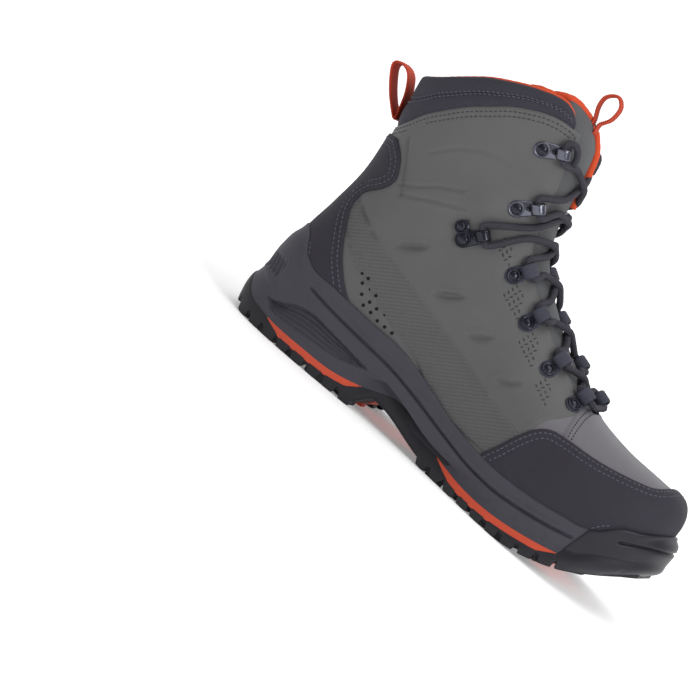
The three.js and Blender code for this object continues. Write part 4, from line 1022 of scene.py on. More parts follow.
def bumper_side(points):
    """Above zero ahead of the toe bumper's rear edge."""
    edge = bumper_x(np.maximum(points[:, 2], BUMPER[0, 1] * STACK))
    return (points[:, 0] - edge) * 0.9


def mid_field(points):
    over = points[:, 2] - mid_line(np.minimum(points[:, 0], x_at(0.846)))
    return np.minimum(over, -bumper_side(points))


BLOCK_PITCH = 12.6
TOE_SMOOTH = 214.0


def rubber_foot(x):
    """Lower edge of the outsole's side: blocks that reach the ground, gaps between them, none at the arch."""
    share = (x / BLOCK_PITCH) % 1
    block = soften((share - 0.12) / 0.08) * soften((0.88 - share) / 0.08)
    block = block * np.where((x > HEEL_FLAT[1] + 4) & (x < BALL_FLAT[0] - 8), 0, 1)
    return ground_line(x) + 0.55 + (TREAD_DEPTH + 1.8) * np.where(x > TOE_SMOOTH, 0, 1 - block)


def low_field(points):
    over = points[:, 2] - mid_line(np.minimum(points[:, 0], x_at(0.846))) + CLEARANCE
    return np.minimum(np.maximum(-over, bumper_side(points) - CLEARANCE), points[:, 2] - rubber_foot(points[:, 0]))


wedge_top = curve_through([-40, -35, -25, -16, -8, 12, 27, 43, 50], [18.5, 19, 22, 27, 29.5, 29, 27.2, 25.5, 25])
wedge_low = curve_through([-40, -30, 5, 20, 31, 41, 50], [17.5, 14.6, 15, 16.8, 20, 23, 25])
groove_line = curve_through([-17, 4, 29.5, 55, 81, 107, 132, 153, 174, 195, 212],
                            [41.5, 39, 37, 35.5, 31.4, 26.4, 22.3, 21.3, 23.4, 26.9, 30.9])


def midsole_relief(points):
    x, z = points[:, 0], points[:, 2]
    over_groove = z - groove_line(x)
    groove = soften((x + 19) / 6) * soften((214 - x) / 5)
    lift = -2.0 * bell(over_groove, 0.8) * groove
    lift += 0.7 * bell(over_groove - 2.4, 1.5) * groove
    low, high = wedge_low(x), wedge_top(x)
    share = (z - low) / np.maximum(high - low, 1)
    inside = (share > 0) & (share < 1) & (x > -38) & (x < 49)
    depth = 3.6 * share * soften((x + 38) / 8) * soften((49 - x) / 14)
    ribs = 0.8 * np.sin(2 * PI * share * 5) * soften((0.92 - share) / 0.1) * soften(share / 0.12)
    lift -= np.where(inside, depth - ribs * soften((x + 36) / 8) * soften((47 - x) / 12), 0)
    patch = soften((x + 56) / 4) * soften((-37 - x) / 4) * soften((z - 31) / 3) * soften((45 - z) / 4)
    lift -= patch * (1.0 + 0.85 * np.sin(2 * PI * (x + 0.25 * z) / 3.7))
    lift += 0.6 * bell(z - 30 + 0.25 * (x + 50), 1.6) * soften((x + 58) / 4) * soften((-28 - x) / 8)
    # shallow bars moulded under the ball
    for bar in (118, 138, 158, 178, 198):
        near = bell(x - bar - 0.3 * (z - 22), 1.4)
        lift -= 0.7 * near * soften((over_groove + 9) / 2) * soften((-4.5 - over_groove) / 2)
    return lift


STRIP_THICKNESS = 3.8


def in_strip(points):
    """Above zero inside the two coloured strips under the midsole."""
    x = points[:, 0]
    best = np.full(len(points), -50.0)
    for start, end in ((0.105, 0.34), (0.53, 0.846)):
        first, last = x_at(start), x_at(end)
        share = (x - first) / (last - first)
        bend = np.clip(np.minimum(share * 5, (1 - share) * 9), 0, 1)
        top = mid_line(np.minimum(x, x_at(0.846))) - CLEARANCE
        inside = np.minimum(points[:, 2] - top + STRIP_THICKNESS * bend, top + CLEARANCE - points[:, 2])
        inside = np.where((x > first) & (x < last), inside, -5.0)
        best = np.maximum(best, inside)
    return best


def toe_round(x, height):
    """How far the toe's lower edge is rounded in, at a height over the ground side."""
    return 7.5 * np.clip(1 - height / 15, 0, 1) ** 2 * soften((x - 205) / 30)


def rubber_relief(points):
    x, z = points[:, 0], points[:, 2]
    height = z - ground_line(x)
    lift = -2.0 * bell(z - rim_line(x) + 10.0, 0.9) * soften((x - 233) / 2.5)
    notch = bell(x - 246.5, 1.3) * soften((9 - height) / 2) * soften((height - 2.5) / 2)
    return lift - 0.4 * notch - toe_round(x, height)


def no_relief(points):
    return np.zeros(len(points))


def outsole_field(points):
    return np.minimum(low_field(points), np.minimum(-in_strip(points) - 0.1, -bumper_side(points)))


wall_sheet(lip_tree, 0.0, mid_field, midsole_relief, 0.9, "midsole_wall", "midsole", "midsole_foam", "midsole")
wall_sheet(cap_tree, 0.5, outsole_field, no_relief, 0.5, "outsole_wall", "rubber", "outsole_rubber")
wall_sheet(cap_tree, 0.5, lambda p: np.minimum(low_field(p), bumper_side(p)), rubber_relief, 0.9,
           "toe_bumper", "bumper", "outsole_rubber")
wall_sheet(lip_tree, 0.15, in_strip, no_relief, 0.3, "side_strips", "inlay", "inlay_rubber")

# ---------------------------------------------------------------- copies placed by geometry nodes
def placing_tree(material):
    """Copies of an item on points: its X along 'aim', its Z along 'out', with a small change of size."""
    tree = bpy.data.node_groups.new("Placed copies", "GeometryNodeTree")
    for label, kind in (("Points", "Geometry"), ("Item", "Object"), ("Size", "Float"), ("Size change", "Float")):
        tree.interface.new_socket(label, in_out="INPUT", socket_type="NodeSocket" + kind)
    tree.interface.new_socket("Result", in_out="OUTPUT", socket_type="NodeSocketGeometry")
    given, result = node(tree, "NodeGroupInput"), node(tree, "NodeGroupOutput")
    item = node(tree, "GeometryNodeObjectInfo", transform_space="ORIGINAL")
    turned = node(tree, "FunctionNodeAxesToRotation", primary_axis="Z", secondary_axis="X")
    chance = node(tree, "FunctionNodeRandomValue", data_type="FLOAT")
    chance.inputs["Seed"].default_value = 7
    copies = node(tree, "GeometryNodeInstanceOnPoints")
    real = node(tree, "GeometryNodeRealizeInstances")
    paint = node(tree, "GeometryNodeSetMaterial")
    paint.inputs["Material"].default_value = material
    link = tree.links.new
    link(given.outputs["Item"], item.inputs["Object"])
    for operation, place in (("SUBTRACT", 2), ("ADD", 3)):
        link(maths(tree, operation, given.outputs["Size"], given.outputs["Size change"]), chance.inputs[place])
    for label, axis in (("out", "Primary Axis"), ("aim", "Secondary Axis")):
        named = node(tree, "GeometryNodeInputNamedAttribute", data_type="FLOAT_VECTOR")
        named.inputs["Name"].default_value = label
        link(named.outputs["Attribute"], turned.inputs[axis])
    link(given.outputs["Points"], copies.inputs["Points"])
    link(item.outputs["Geometry"], copies.inputs["Instance"])
    link(turned.outputs["Rotation"], copies.inputs["Rotation"])
    link(chance.outputs[1], copies.inputs["Scale"])
    link(copies.outputs["Instances"], real.inputs["Geometry"])
    link(real.outputs["Geometry"], paint.inputs["Geometry"])
    link(paint.outputs["Geometry"], result.inputs["Result"])
    return tree


def placed_copies(name, item, places, aims, outs, material, size=1.0, change=0.0, reshape=None,
                  smooth=True):
    """One mesh of copies of an item, given as points and faces."""
    material = MATERIALS[material]
    carrier = mesh_object(name + "_points", places, [], material, ride=False)
    for label, values in (("aim", aims), ("out", outs)):
        layer = carrier.data.attributes.new(label, "FLOAT_VECTOR", "POINT")
        layer.data.foreach_set("vector", np.asarray(values, float).ravel())
    pattern = mesh_object(name + "_item", *item, material, ride=False, smooth=smooth)
    modifier = carrier.modifiers.new("copies", "NODES")
    modifier.node_group = placing_tree(material)
    given = {"Item": pattern, "Size": size, "Size change": change}
    for socket in modifier.node_group.interface.items_tree:
        if socket.name in given:
            modifier[socket.identifier] = given[socket.name]
    bpy.context.view_layer.update()
    mesh = bpy.data.meshes.new_from_object(carrier.evaluated_get(bpy.context.evaluated_depsgraph_get()))
    mesh.name = name
    if reshape is not None:
        flat = np.zeros(3 * len(mesh.vertices))
        mesh.vertices.foreach_get("co", flat)
        mesh.vertices.foreach_set("co", (reshape(flat.reshape(-1, 3) * 1000) * 0.001).ravel())
        mesh.update()
    for spare in (carrier, pattern):
        data = spare.data
        bpy.data.objects.remove(spare)
        bpy.data.meshes.remove(data)
    made = linked_object(name, mesh)
    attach(made, "root")
    return made


def bead(length, width, height, around=6, along=4):
    """A small oval bead with its length along X."""
    points = [(-length / 2, 0, 0)]
    for i in range(1, along):
        angle = PI * i / along
        for j in range(around):
            turn = 2 * PI * j / around
            points.append((-length / 2 * np.cos(angle), width / 2 * np.sin(angle) * np.cos(turn),
                           height / 2 * np.sin(angle) * np.sin(turn)))
    points.append((length / 2, 0, 0))
    faces = [(0, 1 + (j + 1) % around, 1 + j) for j in range(around)]
    for i in range(along - 2):
        for j in range(around):
            a, b = 1 + i * around + j, 1 + i * around + (j + 1) % around
            faces.append((a, b, b + around, a + around))
    end, last = len(points) - 1, 1 + (along - 2) * around
    faces += [(end, last + j, last + (j + 1) % around) for j in range(around)]
    return np.array(points), faces


def level_lines(points, faces, values, level):
    """Lines on a sheet along which its values have a level."""
    above_it = values > level
    sums = above_it[faces].sum(1)
    some = faces[(sums == 1) | (sums == 2)]
    odd = np.where((above_it[some].sum(1) == 1)[:, None], above_it[some], ~above_it[some])
    first = odd.argmax(1)
    a, b, c = (some[np.arange(len(some)), (first + k) % 3] for k in range(3))
    ends = {}
    spots = {}
    for p, q, r in zip(a.tolist(), b.tolist(), c.tolist()):
        keys = []
        for other in (q, r):
            key = (min(p, other), max(p, other))
            if key not in spots:
                t = (level - values[p]) / (values[other] - values[p])
                spots[key] = points[p] * (1 - t) + points[other] * t
            keys.append(key)
        ends.setdefault(keys[0], []).append(keys[1])
        ends.setdefault(keys[1], []).append(keys[0])
    lines, seen = [], set()
    starts = [key for key, linked in ends.items() if len(linked) == 1] + list(ends)
    for start in starts:
        if start in seen:
            continue
        line, here = [], start
        while here is not None:
            seen.add(here)
            line.append(spots[here])
            here = next((key for key in ends[here] if key not in seen), None)
        if len(line) > 3:
            lines.append(np.array(line))
    return lines


def even_points(line, spacing, rounds=3):
    """Points a spacing apart along a line that is first made smoother."""
    line = np.asarray(line, float)
    for _ in range(rounds):
        line[1:-1] = (line[:-2] + 2 * line[1:-1] + line[2:]) / 4
    travelled = np.concatenate([[0], np.cumsum(np.linalg.norm(np.diff(line, axis=0), axis=1))])
    count = int(travelled[-1] / spacing)
    if count < 2:
        return None
    spots = (np.arange(count) + 0.5) * travelled[-1] / count
    ends = [np.stack([np.interp(np.clip(spots + off, 0, travelled[-1]), travelled, line[:, k])
                      for k in range(3)], -1) for off in (0, -0.6, 0.6)]
    return ends[0], unit(ends[2] - ends[1])


def face_normals(points, faces):
    """Normal at each point of a sheet."""
    a, b, c = (points[faces[:, k]] for k in range(3))
    across = np.cross(b - a, c - a)
    total = np.zeros_like(points)
    for k in range(3):
        np.add.at(total, faces[:, k], across)
    return unit(total)


class Threads:
    """Stitches gathered from several seams, made into one mesh at the end."""

    def __init__(self):
        self.places, self.aims, self.outs = [], [], []

    def along(self, line, spacing, tree, normals, keep=None):
        found = even_points(line, spacing)
        if found is None:
            return
        for place, aim in zip(*found):
            if keep is None or keep(place):
                self.places.append(place)
                self.aims.append(aim)
                self.outs.append(normals[tree.find(place)[1]])

    def on_sheet(self, top, faces, values, levels, spacing, keep=None):
        """Rows of stitches on a sheet, where its values have given levels."""
        normals, tree = face_normals(top, faces), near_tree(top)
        for level in levels:
            for line in level_lines(top, faces, values, level):
                self.along(line, spacing, tree, normals, keep)


def sewn(threads, sheet, lift, levels, spacing, keep):
    """Rows of stitches along a sheet's border, at given distances from it."""
    flat, faces, params = joined(*sheet)
    distance = border_distance(flat, faces)
    top = form(params[:, 0], params[:, 1], lift(params, flat, distance))
    threads.on_sheet(top, faces, distance, levels, spacing, keep)


def over_lip(place):
    return place[2] > rim_line(place[0]) + 1.0


def at_top_seam(place):
    """Near the quarter's top edge, and not at the throat."""
    near_top = place[0] < SEAM_FRONT and place[2] > seam_line(place[0]) - 9
    return near_top and abs(place[1]) > 4


def on_bare_vamp(place):
    """Outside the toe overlay and below the throat."""
    return inside_distance(np.array([[place[0], place[2]]]), RAND)[0] < -1 and place[2] < 92


dark_threads, grey_threads = Threads(), Threads()
sewn(dark_threads, rand_sheet, overlay_lift, OVERLAY_ROWS, 3.1, over_lip)
sewn(dark_threads, counter_sheet, overlay_lift, OVERLAY_ROWS, 3.1, over_lip)
sewn(grey_threads, quarter_sheet, quarter_lift, QUARTER_ROWS, 3.0, at_top_seam)
params, faces = vamp_sheet
flat = on_skin(params)
grey_threads.on_sheet(flat, faces, flat[:, 0] - toe_x(flat[:, 2]), (2.6, 5.4), 2.6, on_bare_vamp)
params, faces = collar_sheet
flat = on_skin(params)
top = form(params[:, 0], params[:, 1], collar_lift(params, flat, border_distance(flat, faces)) + 0.25)
dark_threads.on_sheet(top, faces, collar_share(flat), (TIER - 0.05, TIER + 0.05), 3.0)

STITCH = bead(2.4, 1.0, 0.9)
placed_copies("overlay_stitches", STITCH, dark_threads.places, dark_threads.aims, dark_threads.outs, "thread",
              change=0.06)
placed_copies("upper_stitches", STITCH, grey_threads.places, grey_threads.aims, grey_threads.outs, "grey thread",
              size=0.9, change=0.06)


# ---------------------------------------------------------------- finding places on the form
def station_turn_at(x, z, side, guess):
    """Station and turn of the form's point with a given place in the side view."""
    station, turn = guess[0], side * abs(guess[1])
    for _ in range(30):
        p = skin(station, turn)
        step = 1e-3
        ds, dt = (skin(station + step, turn) - p) / step, (skin(station, turn + step) - p) / step
        matrix = np.array([[ds[0], dt[0]], [ds[2], dt[2]]])
        change = np.linalg.lstsq(matrix, np.array([x - p[0], z - p[2]]), rcond=None)[0]
        change = np.clip(change, -0.5, 0.5)
        station = float(np.clip(station + change[0], 0.1, LAST - 0.05))
        turn = float(turn + change[1])
    return station, turn


def on_side(spots, side, guess):
    """Points and normals of the upper at places of the side view."""
    places, outs = [], []
    for x, z in spots:
        station, turn = station_turn_at(x, z, side, guess)
        flat = skin(station, turn)[None]
        lift = 0.35 + upper_relief(flat)[0]
        places.append(form(station, turn, lift))
        outs.append(skin_normal(station, turn))
    return places, outs


HOLES = [(4, 68.5), (9, 68.5), (8, 64), (13.5, 63.5), (19.5, 63.5), (12, 58.5), (19, 58), (25, 57.5),
         (31, 57.5), (17, 54), (23.5, 53.5), (30, 52.2), (36, 52.2), (42, 52.2)]
places, outs = [], []
for side in (-1, 1):
    found = on_side(HOLES, side, (9.6, 1.6))
    places += found[0]
    outs += found[1]
# Each hole is a near-black bead, painted shade inside the hole.
placed_copies("drain_holes", bead(2.3, 2.3, 0.9, 10, 6), places, [(1, 0, 0)] * len(places), outs, "hole")

# Small sewn tacks between the eyelets: place in the side view and rows
TACKS = [((58, 134), 3), ((80, 113), 4), ((106, 97), 4), ((132, 84), 3)]
places, outs, aims = [], [], []
for (x, z), rows in TACKS:
    for row in range(rows):
        for column in range(rows + 2 - row):
            spot = (x + 3.0 * column + 0.6 * row, z + 2.9 * row - 1.2 * column)
            for side in (-1, 1):
                found = on_side([spot], side, (7.5, 1.2))
                places += found[0]
                outs += found[1]
                aims.append((0.5, 0, 0.86) if column % 2 else (0.8, 0, -0.6))
placed_copies("eyelet_tacks", bead(2.5, 1.0, 0.8), places, aims, outs, "olive thread",
              change=0.1)


# ---------------------------------------------------------------- lacing hardware
def seat_frame(station, beyond, side):
    """Frame on the face of the upper: X towards the throat, Y along the boot, Z outwards."""
    middle = float(section_curves[5](station))
    y = middle + side * float(throat_half(station))
    edge = skin(station, float(front_turn(station, y)))
    turn, foot = 0.0, skin(station, 0.0)
    covered = -np.linalg.norm(foot - edge)
    while covered < beyond:
        turn += 0.01 * side
        ahead = skin(station, turn)
        covered += np.linalg.norm(ahead - foot)
        foot = ahead
    out = skin_normal(station, turn)
    towards = skin(station, turn - 0.03 * side) - foot
    towards = unit(towards - out * (towards @ out))
    return foot, towards, np.cross(out, towards), out, turn


def in_frame(points, seat, lift=0.0):
    foot, towards, across, out = seat[:4]
    points = np.asarray(points, float)
    return foot + points[..., :1] * towards + points[..., 1:2] * across + (points[..., 2:3] + lift) * out


def node_centre(name):
    low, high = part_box(name)
    return np.array((low + high) / 2) * 1000


def lathed(profile, around=28):
    """A round piece about Z from radius and height pairs, closed at its middle."""
    profile = np.asarray(profile, float)
    turns = np.arange(around) * 2 * PI / around
    points = [(r * np.cos(t), r * np.sin(t), z) for r, z in profile[:-1] for t in turns]
    points.append((0, 0, profile[-1][1]))
    faces = grid_faces(len(profile) - 1, around, around=True)
    top = (len(profile) - 2) * around
    faces += [(top + j, top + (j + 1) % around, len(points) - 1) for j in range(around)]
    return np.array(points), faces


def ribbon(centres, sides, ups, widths, thickness, rib=None, steps=14, closed=False):
    """A flat band along a line, with rounded edges and ribs across its face."""
    count = len(centres)
    share = 1 - 2 * np.arange(steps + 1) / steps
    edge = (1 - np.abs(share) ** 6) ** 0.5
    rows = []
    for i in range(count):
        across = share * widths[i] / 2
        ridge = rib(i, across) if rib else np.zeros(steps + 1)
        top = edge * (thickness / 2 + ridge)
        low = -edge * (thickness / 2 + (ridge if rib else 0))
        upper = centres[i] + across[:, None] * sides[i] + top[:, None] * ups[i]
        under = centres[i] + across[:, None] * sides[i] + low[:, None] * ups[i]
        rows.append(np.vstack([upper, under[-2:0:-1]]))
    ring = 2 * steps
    faces = []
    for i in range(count if closed else count - 1):
        n = (i + 1) % count
        for j in range(ring):
            k = (j + 1) % ring
            faces.append((i * ring + j, n * ring + j, n * ring + k, i * ring + k))
    if not closed:
        faces.append(tuple(range(ring)))
        faces.append(tuple((count - 1) * ring + j for j in reversed(range(ring))))
    return np.vstack(rows), faces


def path_frames(path, side):
    """Ups for a flat line whose band lies across a fixed side direction."""
    step = np.gradient(path, axis=0)
    sides = np.repeat(np.asarray(side, float)[None], len(path), 0)
    return sides, unit(np.cross(unit(step), sides))


def together(pieces):
    points, faces, count = [], [], 0
    for piece_points, piece_faces in pieces:
        points.append(piece_points)
        faces += [tuple(int(k) + count for k in face) for face in piece_faces]
        count += len(piece_points)
    return np.vstack(points), faces


def loop_line(straight, radius, end_turn, centre_x, base, count=44):
    """A straight stretch along X and then a turn round a centre, in X and Z."""
    first = np.stack([straight, np.full(len(straight), base)], -1)
    angle = np.linspace(-PI / 2, -PI / 2 + end_turn, count)[1:]
    turn = np.stack([centre_x + radius * np.cos(angle), base + radius + radius * np.sin(angle)], -1)
    flat = np.vstack([first, turn])
    return np.stack([flat[:, 0], np.zeros(len(flat)), flat[:, 1]], -1)


STRAP_STATIONS = [5.15, 5.95, 7, 8.35]
STRAP_BEYOND = 0.119 * BALL_WIDTH
EYE_RADIUS = LACE_RADIUS * 2 * 0.72 + 1.8
STRAP_EYE = 10.0
eyes = {}


def strap_pieces(seat, lift):
    """A webbing strap folded into an eye for the lace."""
    straight = np.concatenate([-5.5 * np.cos(np.linspace(0, PI / 2, 8)), np.linspace(0.8, STRAP_EYE, 12)])
    line = loop_line(straight, EYE_RADIUS - 0.9, 1.94 * PI, STRAP_EYE, 0.9)
    widths = []
    for i, (x, _, z) in enumerate(line):
        round_end = 2 * np.sqrt(max(0.6, 5.5**2 - min(x, 0) ** 2))
        widths.append(round_end if i < 8 else 11 - 2.2 * min(1, (i - 8) / 11))
    sides, ups = path_frames(line, (0, 1, 0))
    ribs = lambda i, across: 0.14 * np.cos(2 * PI * across / 1.5)
    points, faces = ribbon(line, sides, ups, widths, 1.7, ribs, steps=26)
    return in_frame(points, seat, lift), faces


RIVET = [(4.6, 0), (4.6, 0.55), (4.3, 0.95), (3.7, 1.05), (3.3, 0.85), (3.1, 0.7), (2.9, 1.1), (2.3, 1.6),
         (1.4, 1.9), (0.6, 2.0), (0, 2.0)]

for label, side in (("inner", -1), ("outer", 1)):
    for level, station in enumerate(STRAP_STATIONS):
        seat = seat_frame(station, STRAP_BEYOND, side)
        strap_name, rivet_name = f"lace_strap_{label}_{level + 1}", f"rivet_{label}_{level + 1}"
        lift = float((node_centre(rivet_name) - seat[0]) @ seat[3]) - 1.8 - CLEARANCE - 1.0
        piece(f"webbing_eye_{label}_{level + 1}", *strap_pieces(seat, lift), "strap", "lace_webbing", strap_name,
              closed=True)
        points, faces = lathed(RIVET)
        piece(f"eye_rivet_{label}_{level + 1}", in_frame(points, seat, lift + 1.75), faces, "dark",
              "lacing_metal", rivet_name, closed=True)
        eyes[(level, side)] = (seat, lift, STRAP_EYE, EYE_RADIUS)

HOOK_CURL = 13.0
HOOK_RADIUS = LACE_RADIUS * 2 * 0.75 + 1.4


def tab_plate(length, radius, thickness, offset=(0, 0, 0)):
    """A plate with one round end, its edges rounded."""
    turns = np.linspace(PI / 2, 3 * PI / 2, 15)
    outline = [(radius * np.cos(t), radius * np.sin(t)) for t in turns]
    outline += [(length, -radius * 0.8), (length, radius * 0.8)]
    outline = np.array(outline)
    inner = outline * [0.9, 0.88] + [0.2, 0]
    rows = [np.c_[outline, np.zeros(len(outline))], np.c_[outline, np.full(len(outline), thickness * 0.65)],
            np.c_[inner, np.full(len(outline), thickness)]]
    points = np.vstack(rows) + np.asarray(offset)
    n = len(outline)
    faces = [tuple(reversed(range(n))), tuple(2 * n + k for k in range(n))]
    return points, faces + grid_faces(3, n, around=True)


def hook_pieces(two):
    plate = [tab_plate(12.5, 5.2, 1.4)]
    ring = [(4.9, 1.3), (4.9, 1.75), (4.4, 1.9), (4.1, 1.5), (3.9, 1.5), (0, 1.5)]
    dome = [(3.6, 1.4), (3.55, 2.2), (3.0, 2.9), (2.0, 3.3), (1.0, 3.4), (0, 3.42)]
    plate.append(lathed(ring))
    domes = [lathed(dome)]
    line = loop_line(np.linspace(6.5, HOOK_CURL, 8), HOOK_RADIUS - 0.7, 1.62 * PI, HOOK_CURL, 0.7)
    sides, ups = path_frames(line, (0, 1, 0))
    curl = ribbon(line, sides, ups, [7.0] * len(line), 1.3, steps=12)
    plate.append(curl)
    small = lathed([(1.5, 0), (1.4, 0.5), (0.9, 0.85), (0, 0.95)], 16)
    domes.append((small[0] + [7.4, 0, 1.3], small[1]))
    if two:
        plate.append(tab_plate(5.2, 4.2, 1.35, (0, 7.8, 0.1)))
        second = lathed([(r * 0.82, z) for r, z in dome])
        domes.append((second[0] + [0, 7.8, 0], second[1]))
        ring_two = lathed([(r * 0.82, z) for r, z in ring])
        plate.append((ring_two[0] + [0, 7.8, 0], ring_two[1]))
    return plate, domes


HOOKS = [("ankle_hook_{}", 10.55, 0.534 * SHAFT_WIDTH, True),
         ("shaft_hook_{}_1", 12.2, 0.23 * SHAFT_WIDTH, False),
         ("shaft_hook_{}_2", 15.05, 0.23 * SHAFT_WIDTH, False)]
for label, side in (("inner", -1), ("outer", 1)):
    for order, (pattern, station, beyond, two) in enumerate(HOOKS):
        name = pattern.format(label)
        seat = seat_frame(station, beyond, side)
        plate, domes = (together(parts) for parts in hook_pieces(two))
        rough = in_frame(plate[0], seat)
        lift = float((node_centre(name) - (rough.min(0) + rough.max(0)) / 2) @ seat[3])
        piece(name + "_plate", in_frame(plate[0], seat, lift), plate[1], "dark" if two else "metal",
              "lacing_metal", name, closed=True)
        piece(name + "_heads", in_frame(domes[0], seat, lift), domes[1], "dark", "lacing_metal", closed=True)
        eyes[(4 + order, side)] = (seat, lift, HOOK_CURL, HOOK_RADIUS)
EYE_STATIONS = STRAP_STATIONS + [hook[1] for hook in HOOKS]


# ---------------------------------------------------------------- lace
def tube(path, radius, around=12, chart_turns=1.0):
    """A round cord along a smooth line, closed at both ends, and its thread chart."""
    path = np.asarray(path, float)
    ahead = unit(np.gradient(path, axis=0))
    side = unit(np.cross(ahead[0], (0.3, 0.5, 0.8)))
    rows, chart, done = [], [], 0.0
    turns = np.arange(around) * 2 * PI / around
    for i, (place, aim) in enumerate(zip(path, ahead)):
        side = unit(side - aim * (side @ aim))
        other = np.cross(aim, side)
        if i:
            done += np.linalg.norm(path[i] - path[i - 1])
        size = radius * (1 + 0.035 * np.sin(2 * PI * done / 1.7 + 2 * turns))
        rows.append(place + size[:, None] * (np.cos(turns)[:, None] * side + np.sin(turns)[:, None] * other))
        chart.append(np.stack([np.full(around, done), radius * turns], -1))
    faces = grid_faces(len(path), around, around=True)
    faces += [tuple(reversed(range(around))), tuple((len(path) - 1) * around + j for j in range(around))]
    return np.vstack(rows), faces, np.vstack(chart)


def strand_between(first, second, over):
    """Points of a strand from one eye to the next on the other side, over the tongue."""
    (station_a, turn_a), (station_b, turn_b) = first, second
    points = []
    for share in (0.2, 0.36, 0.5, 0.64, 0.8):
        station = station_a + (station_b - station_a) * share
        turn = turn_a + (turn_b - turn_a) * share
        half = throat_half(station)
        aside = abs(skin(station, turn)[1] - section_curves[5](station))
        beyond = soften((aside - half + 3) / 5)
        lift = 0.2 + 2.6 * beyond + (2.2 if over else -1.0) * bell(share - 0.5, 0.14)
        points.append(form(station, turn, lift))
    return points


def upward(level, seat):
    """Whether a seat's Y leads up the boot: 1, or down it: -1."""
    station, turn = EYE_STATIONS[level], seat[4]
    return 1.0 if (skin(station + 0.3, turn) - skin(station - 0.3, turn)) @ seat[2] > 0 else -1.0


def eye_points(level, side):
    """Where the lace enters, passes and leaves an eye, from below."""
    seat, lift, reach, radius = eyes[(level, side)]
    rising = upward(level, seat)
    height = radius - 0.4
    spots = [(reach + 2.2, -6.5 * rising, height - 1.4), (reach + 0.3, -3.0 * rising, height),
             (reach, 0, height + 0.1), (reach + 0.3, 3.0 * rising, height), (reach + 2.2, 6.5 * rising, height - 1.4)]
    return [in_frame(np.array(spot), seat, lift) for spot in spots]


def eye_place(level, side):
    seat, _, reach, _ = eyes[(level, side)]
    station, turn = EYE_STATIONS[level], seat[4]
    while np.linalg.norm(skin(station, turn - 0.01 * side) - seat[0]) < reach and abs(turn) > 0.02:
        turn -= 0.01 * side
    return station, turn


bar_station = STRAP_STATIONS[0] - 0.2
middle_y = float(section_curves[5](bar_station))
bar = [form(bar_station, float(front_turn(bar_station, middle_y + off)), np.array(lift))
       for off, lift in ((-8, 2.0), (0, 1.0), (8, 2.0))]


def lace_half(first_side):
    """The lace from the bottom bar through the eyes to the top, changing sides at each level."""
    points, side = [], first_side
    for level in range(7):
        points += eye_points(level, side)
        if level < 6:
            place, ahead = eye_place(level, side), eye_place(level + 1, -side)
            over = (first_side > 0) == (level % 2 == 0)
            points += strand_between(place, ahead, over)
            side = -side
    seat, lift, reach, _ = eyes[(6, side)]
    rising = upward(6, seat)
    for spot in ((reach + 6, 6.5 * rising, 3.0), (reach + 8.5, 3 * rising, 1.2), (reach + 9, -2 * rising, -0.6),
                 (reach + 8, -7 * rising, -1.4)):
        points.append(in_frame(np.array(spot), seat, lift))
    return points


lace_line = smooth_path(lace_half(-1)[::-1] + bar + lace_half(1), 6)
lace_line = lace_line[np.concatenate([[True], np.linalg.norm(np.diff(lace_line, axis=0), axis=1) > 0.05])]
points, faces, chart = tube(even_points(lace_line, 1.1, rounds=2)[0], LACE_RADIUS)
piece("lace", points, faces, "lace", "lace_cord", *[f"lace_crossing_{level + 1}" for level in range(7)],
      closed=True, uv=chart)


# ---------------------------------------------------------------- pull loops and piping
def loop_band(name, stops, width, node_name, pitch=1.6):
    """A ribbed webbing loop through stops in the side view."""
    stops = np.array([(x, 0.0, z) for x, z in stops])
    line = smooth_path(stops, 14, closed=True)
    spots = even_points(np.vstack([line, line[:1]]), 0.5, rounds=1)[0]
    sides, ups = path_frames(spots, (0, 1, 0))
    ups[0], ups[-1] = ups[1], ups[-2]

    def diagonal(i, across):
        return 0.3 * np.sin(2 * PI * (0.5 * i + 0.35 * across) / pitch)

    band = ribbon(spots, sides, ups, [width] * len(spots), 1.6, diagonal, steps=16, closed=True)
    piece(name, *band, "webbing", "pull_webbing", node_name, closed=True)


def back_at(height):
    station = float(LAST)
    while float(section_curves[3](station)) > height and station > 10:
        station -= 0.05
    return float(section_curves[2](station))


loop_foot, loop_tip = 0.66 * SHAFT_HEIGHT, 0.787 * SHAFT_HEIGHT
loop_back = back_at(loop_foot) - 1.2 - CLEARANCE - 1.2
loop_rise = loop_tip - loop_foot
upper_back = back_at(loop_foot + loop_rise * 0.3) - 1.2 - CLEARANCE - 1.2
loop_band("heel_pull", [
    (loop_back - 0.5, loop_foot), (loop_back - 5, loop_foot + loop_rise * 0.1),
    (loop_back - 14, loop_foot + loop_rise * 0.4), (loop_back - 22, loop_foot + loop_rise * 0.78),
    (loop_back - 22.5, loop_foot + loop_rise * 0.95), (loop_back - 17, loop_tip),
    (loop_back - 11, loop_foot + loop_rise * 0.9), (loop_back - 5.5, loop_foot + loop_rise * 0.6),
    (upper_back - 0.6, loop_foot + loop_rise * 0.3)], 18, "heel_loop")
station = LAST - 0.75
foot = form(station, float(front_turn(station, float(section_curves[5](station)))), np.array(0.9 + 0.3 - 2.2))
loop_band("tongue_pull", [
    (foot[0] - 4, foot[2] - 3), (foot[0] - 4.6, foot[2] + 3), (foot[0] - 0.6, foot[2] + 10),
    (foot[0] - 0.6, foot[2] + 19), (foot[0] - 6, foot[2] + 23.4), (foot[0] - 12, foot[2] + 19),
    (foot[0] - 12.4, foot[2] + 12), (foot[0] - 9.2, foot[2] + 4), (foot[0] - 7.6, foot[2] - 3)],
    8, "tongue_loop", 1.3)


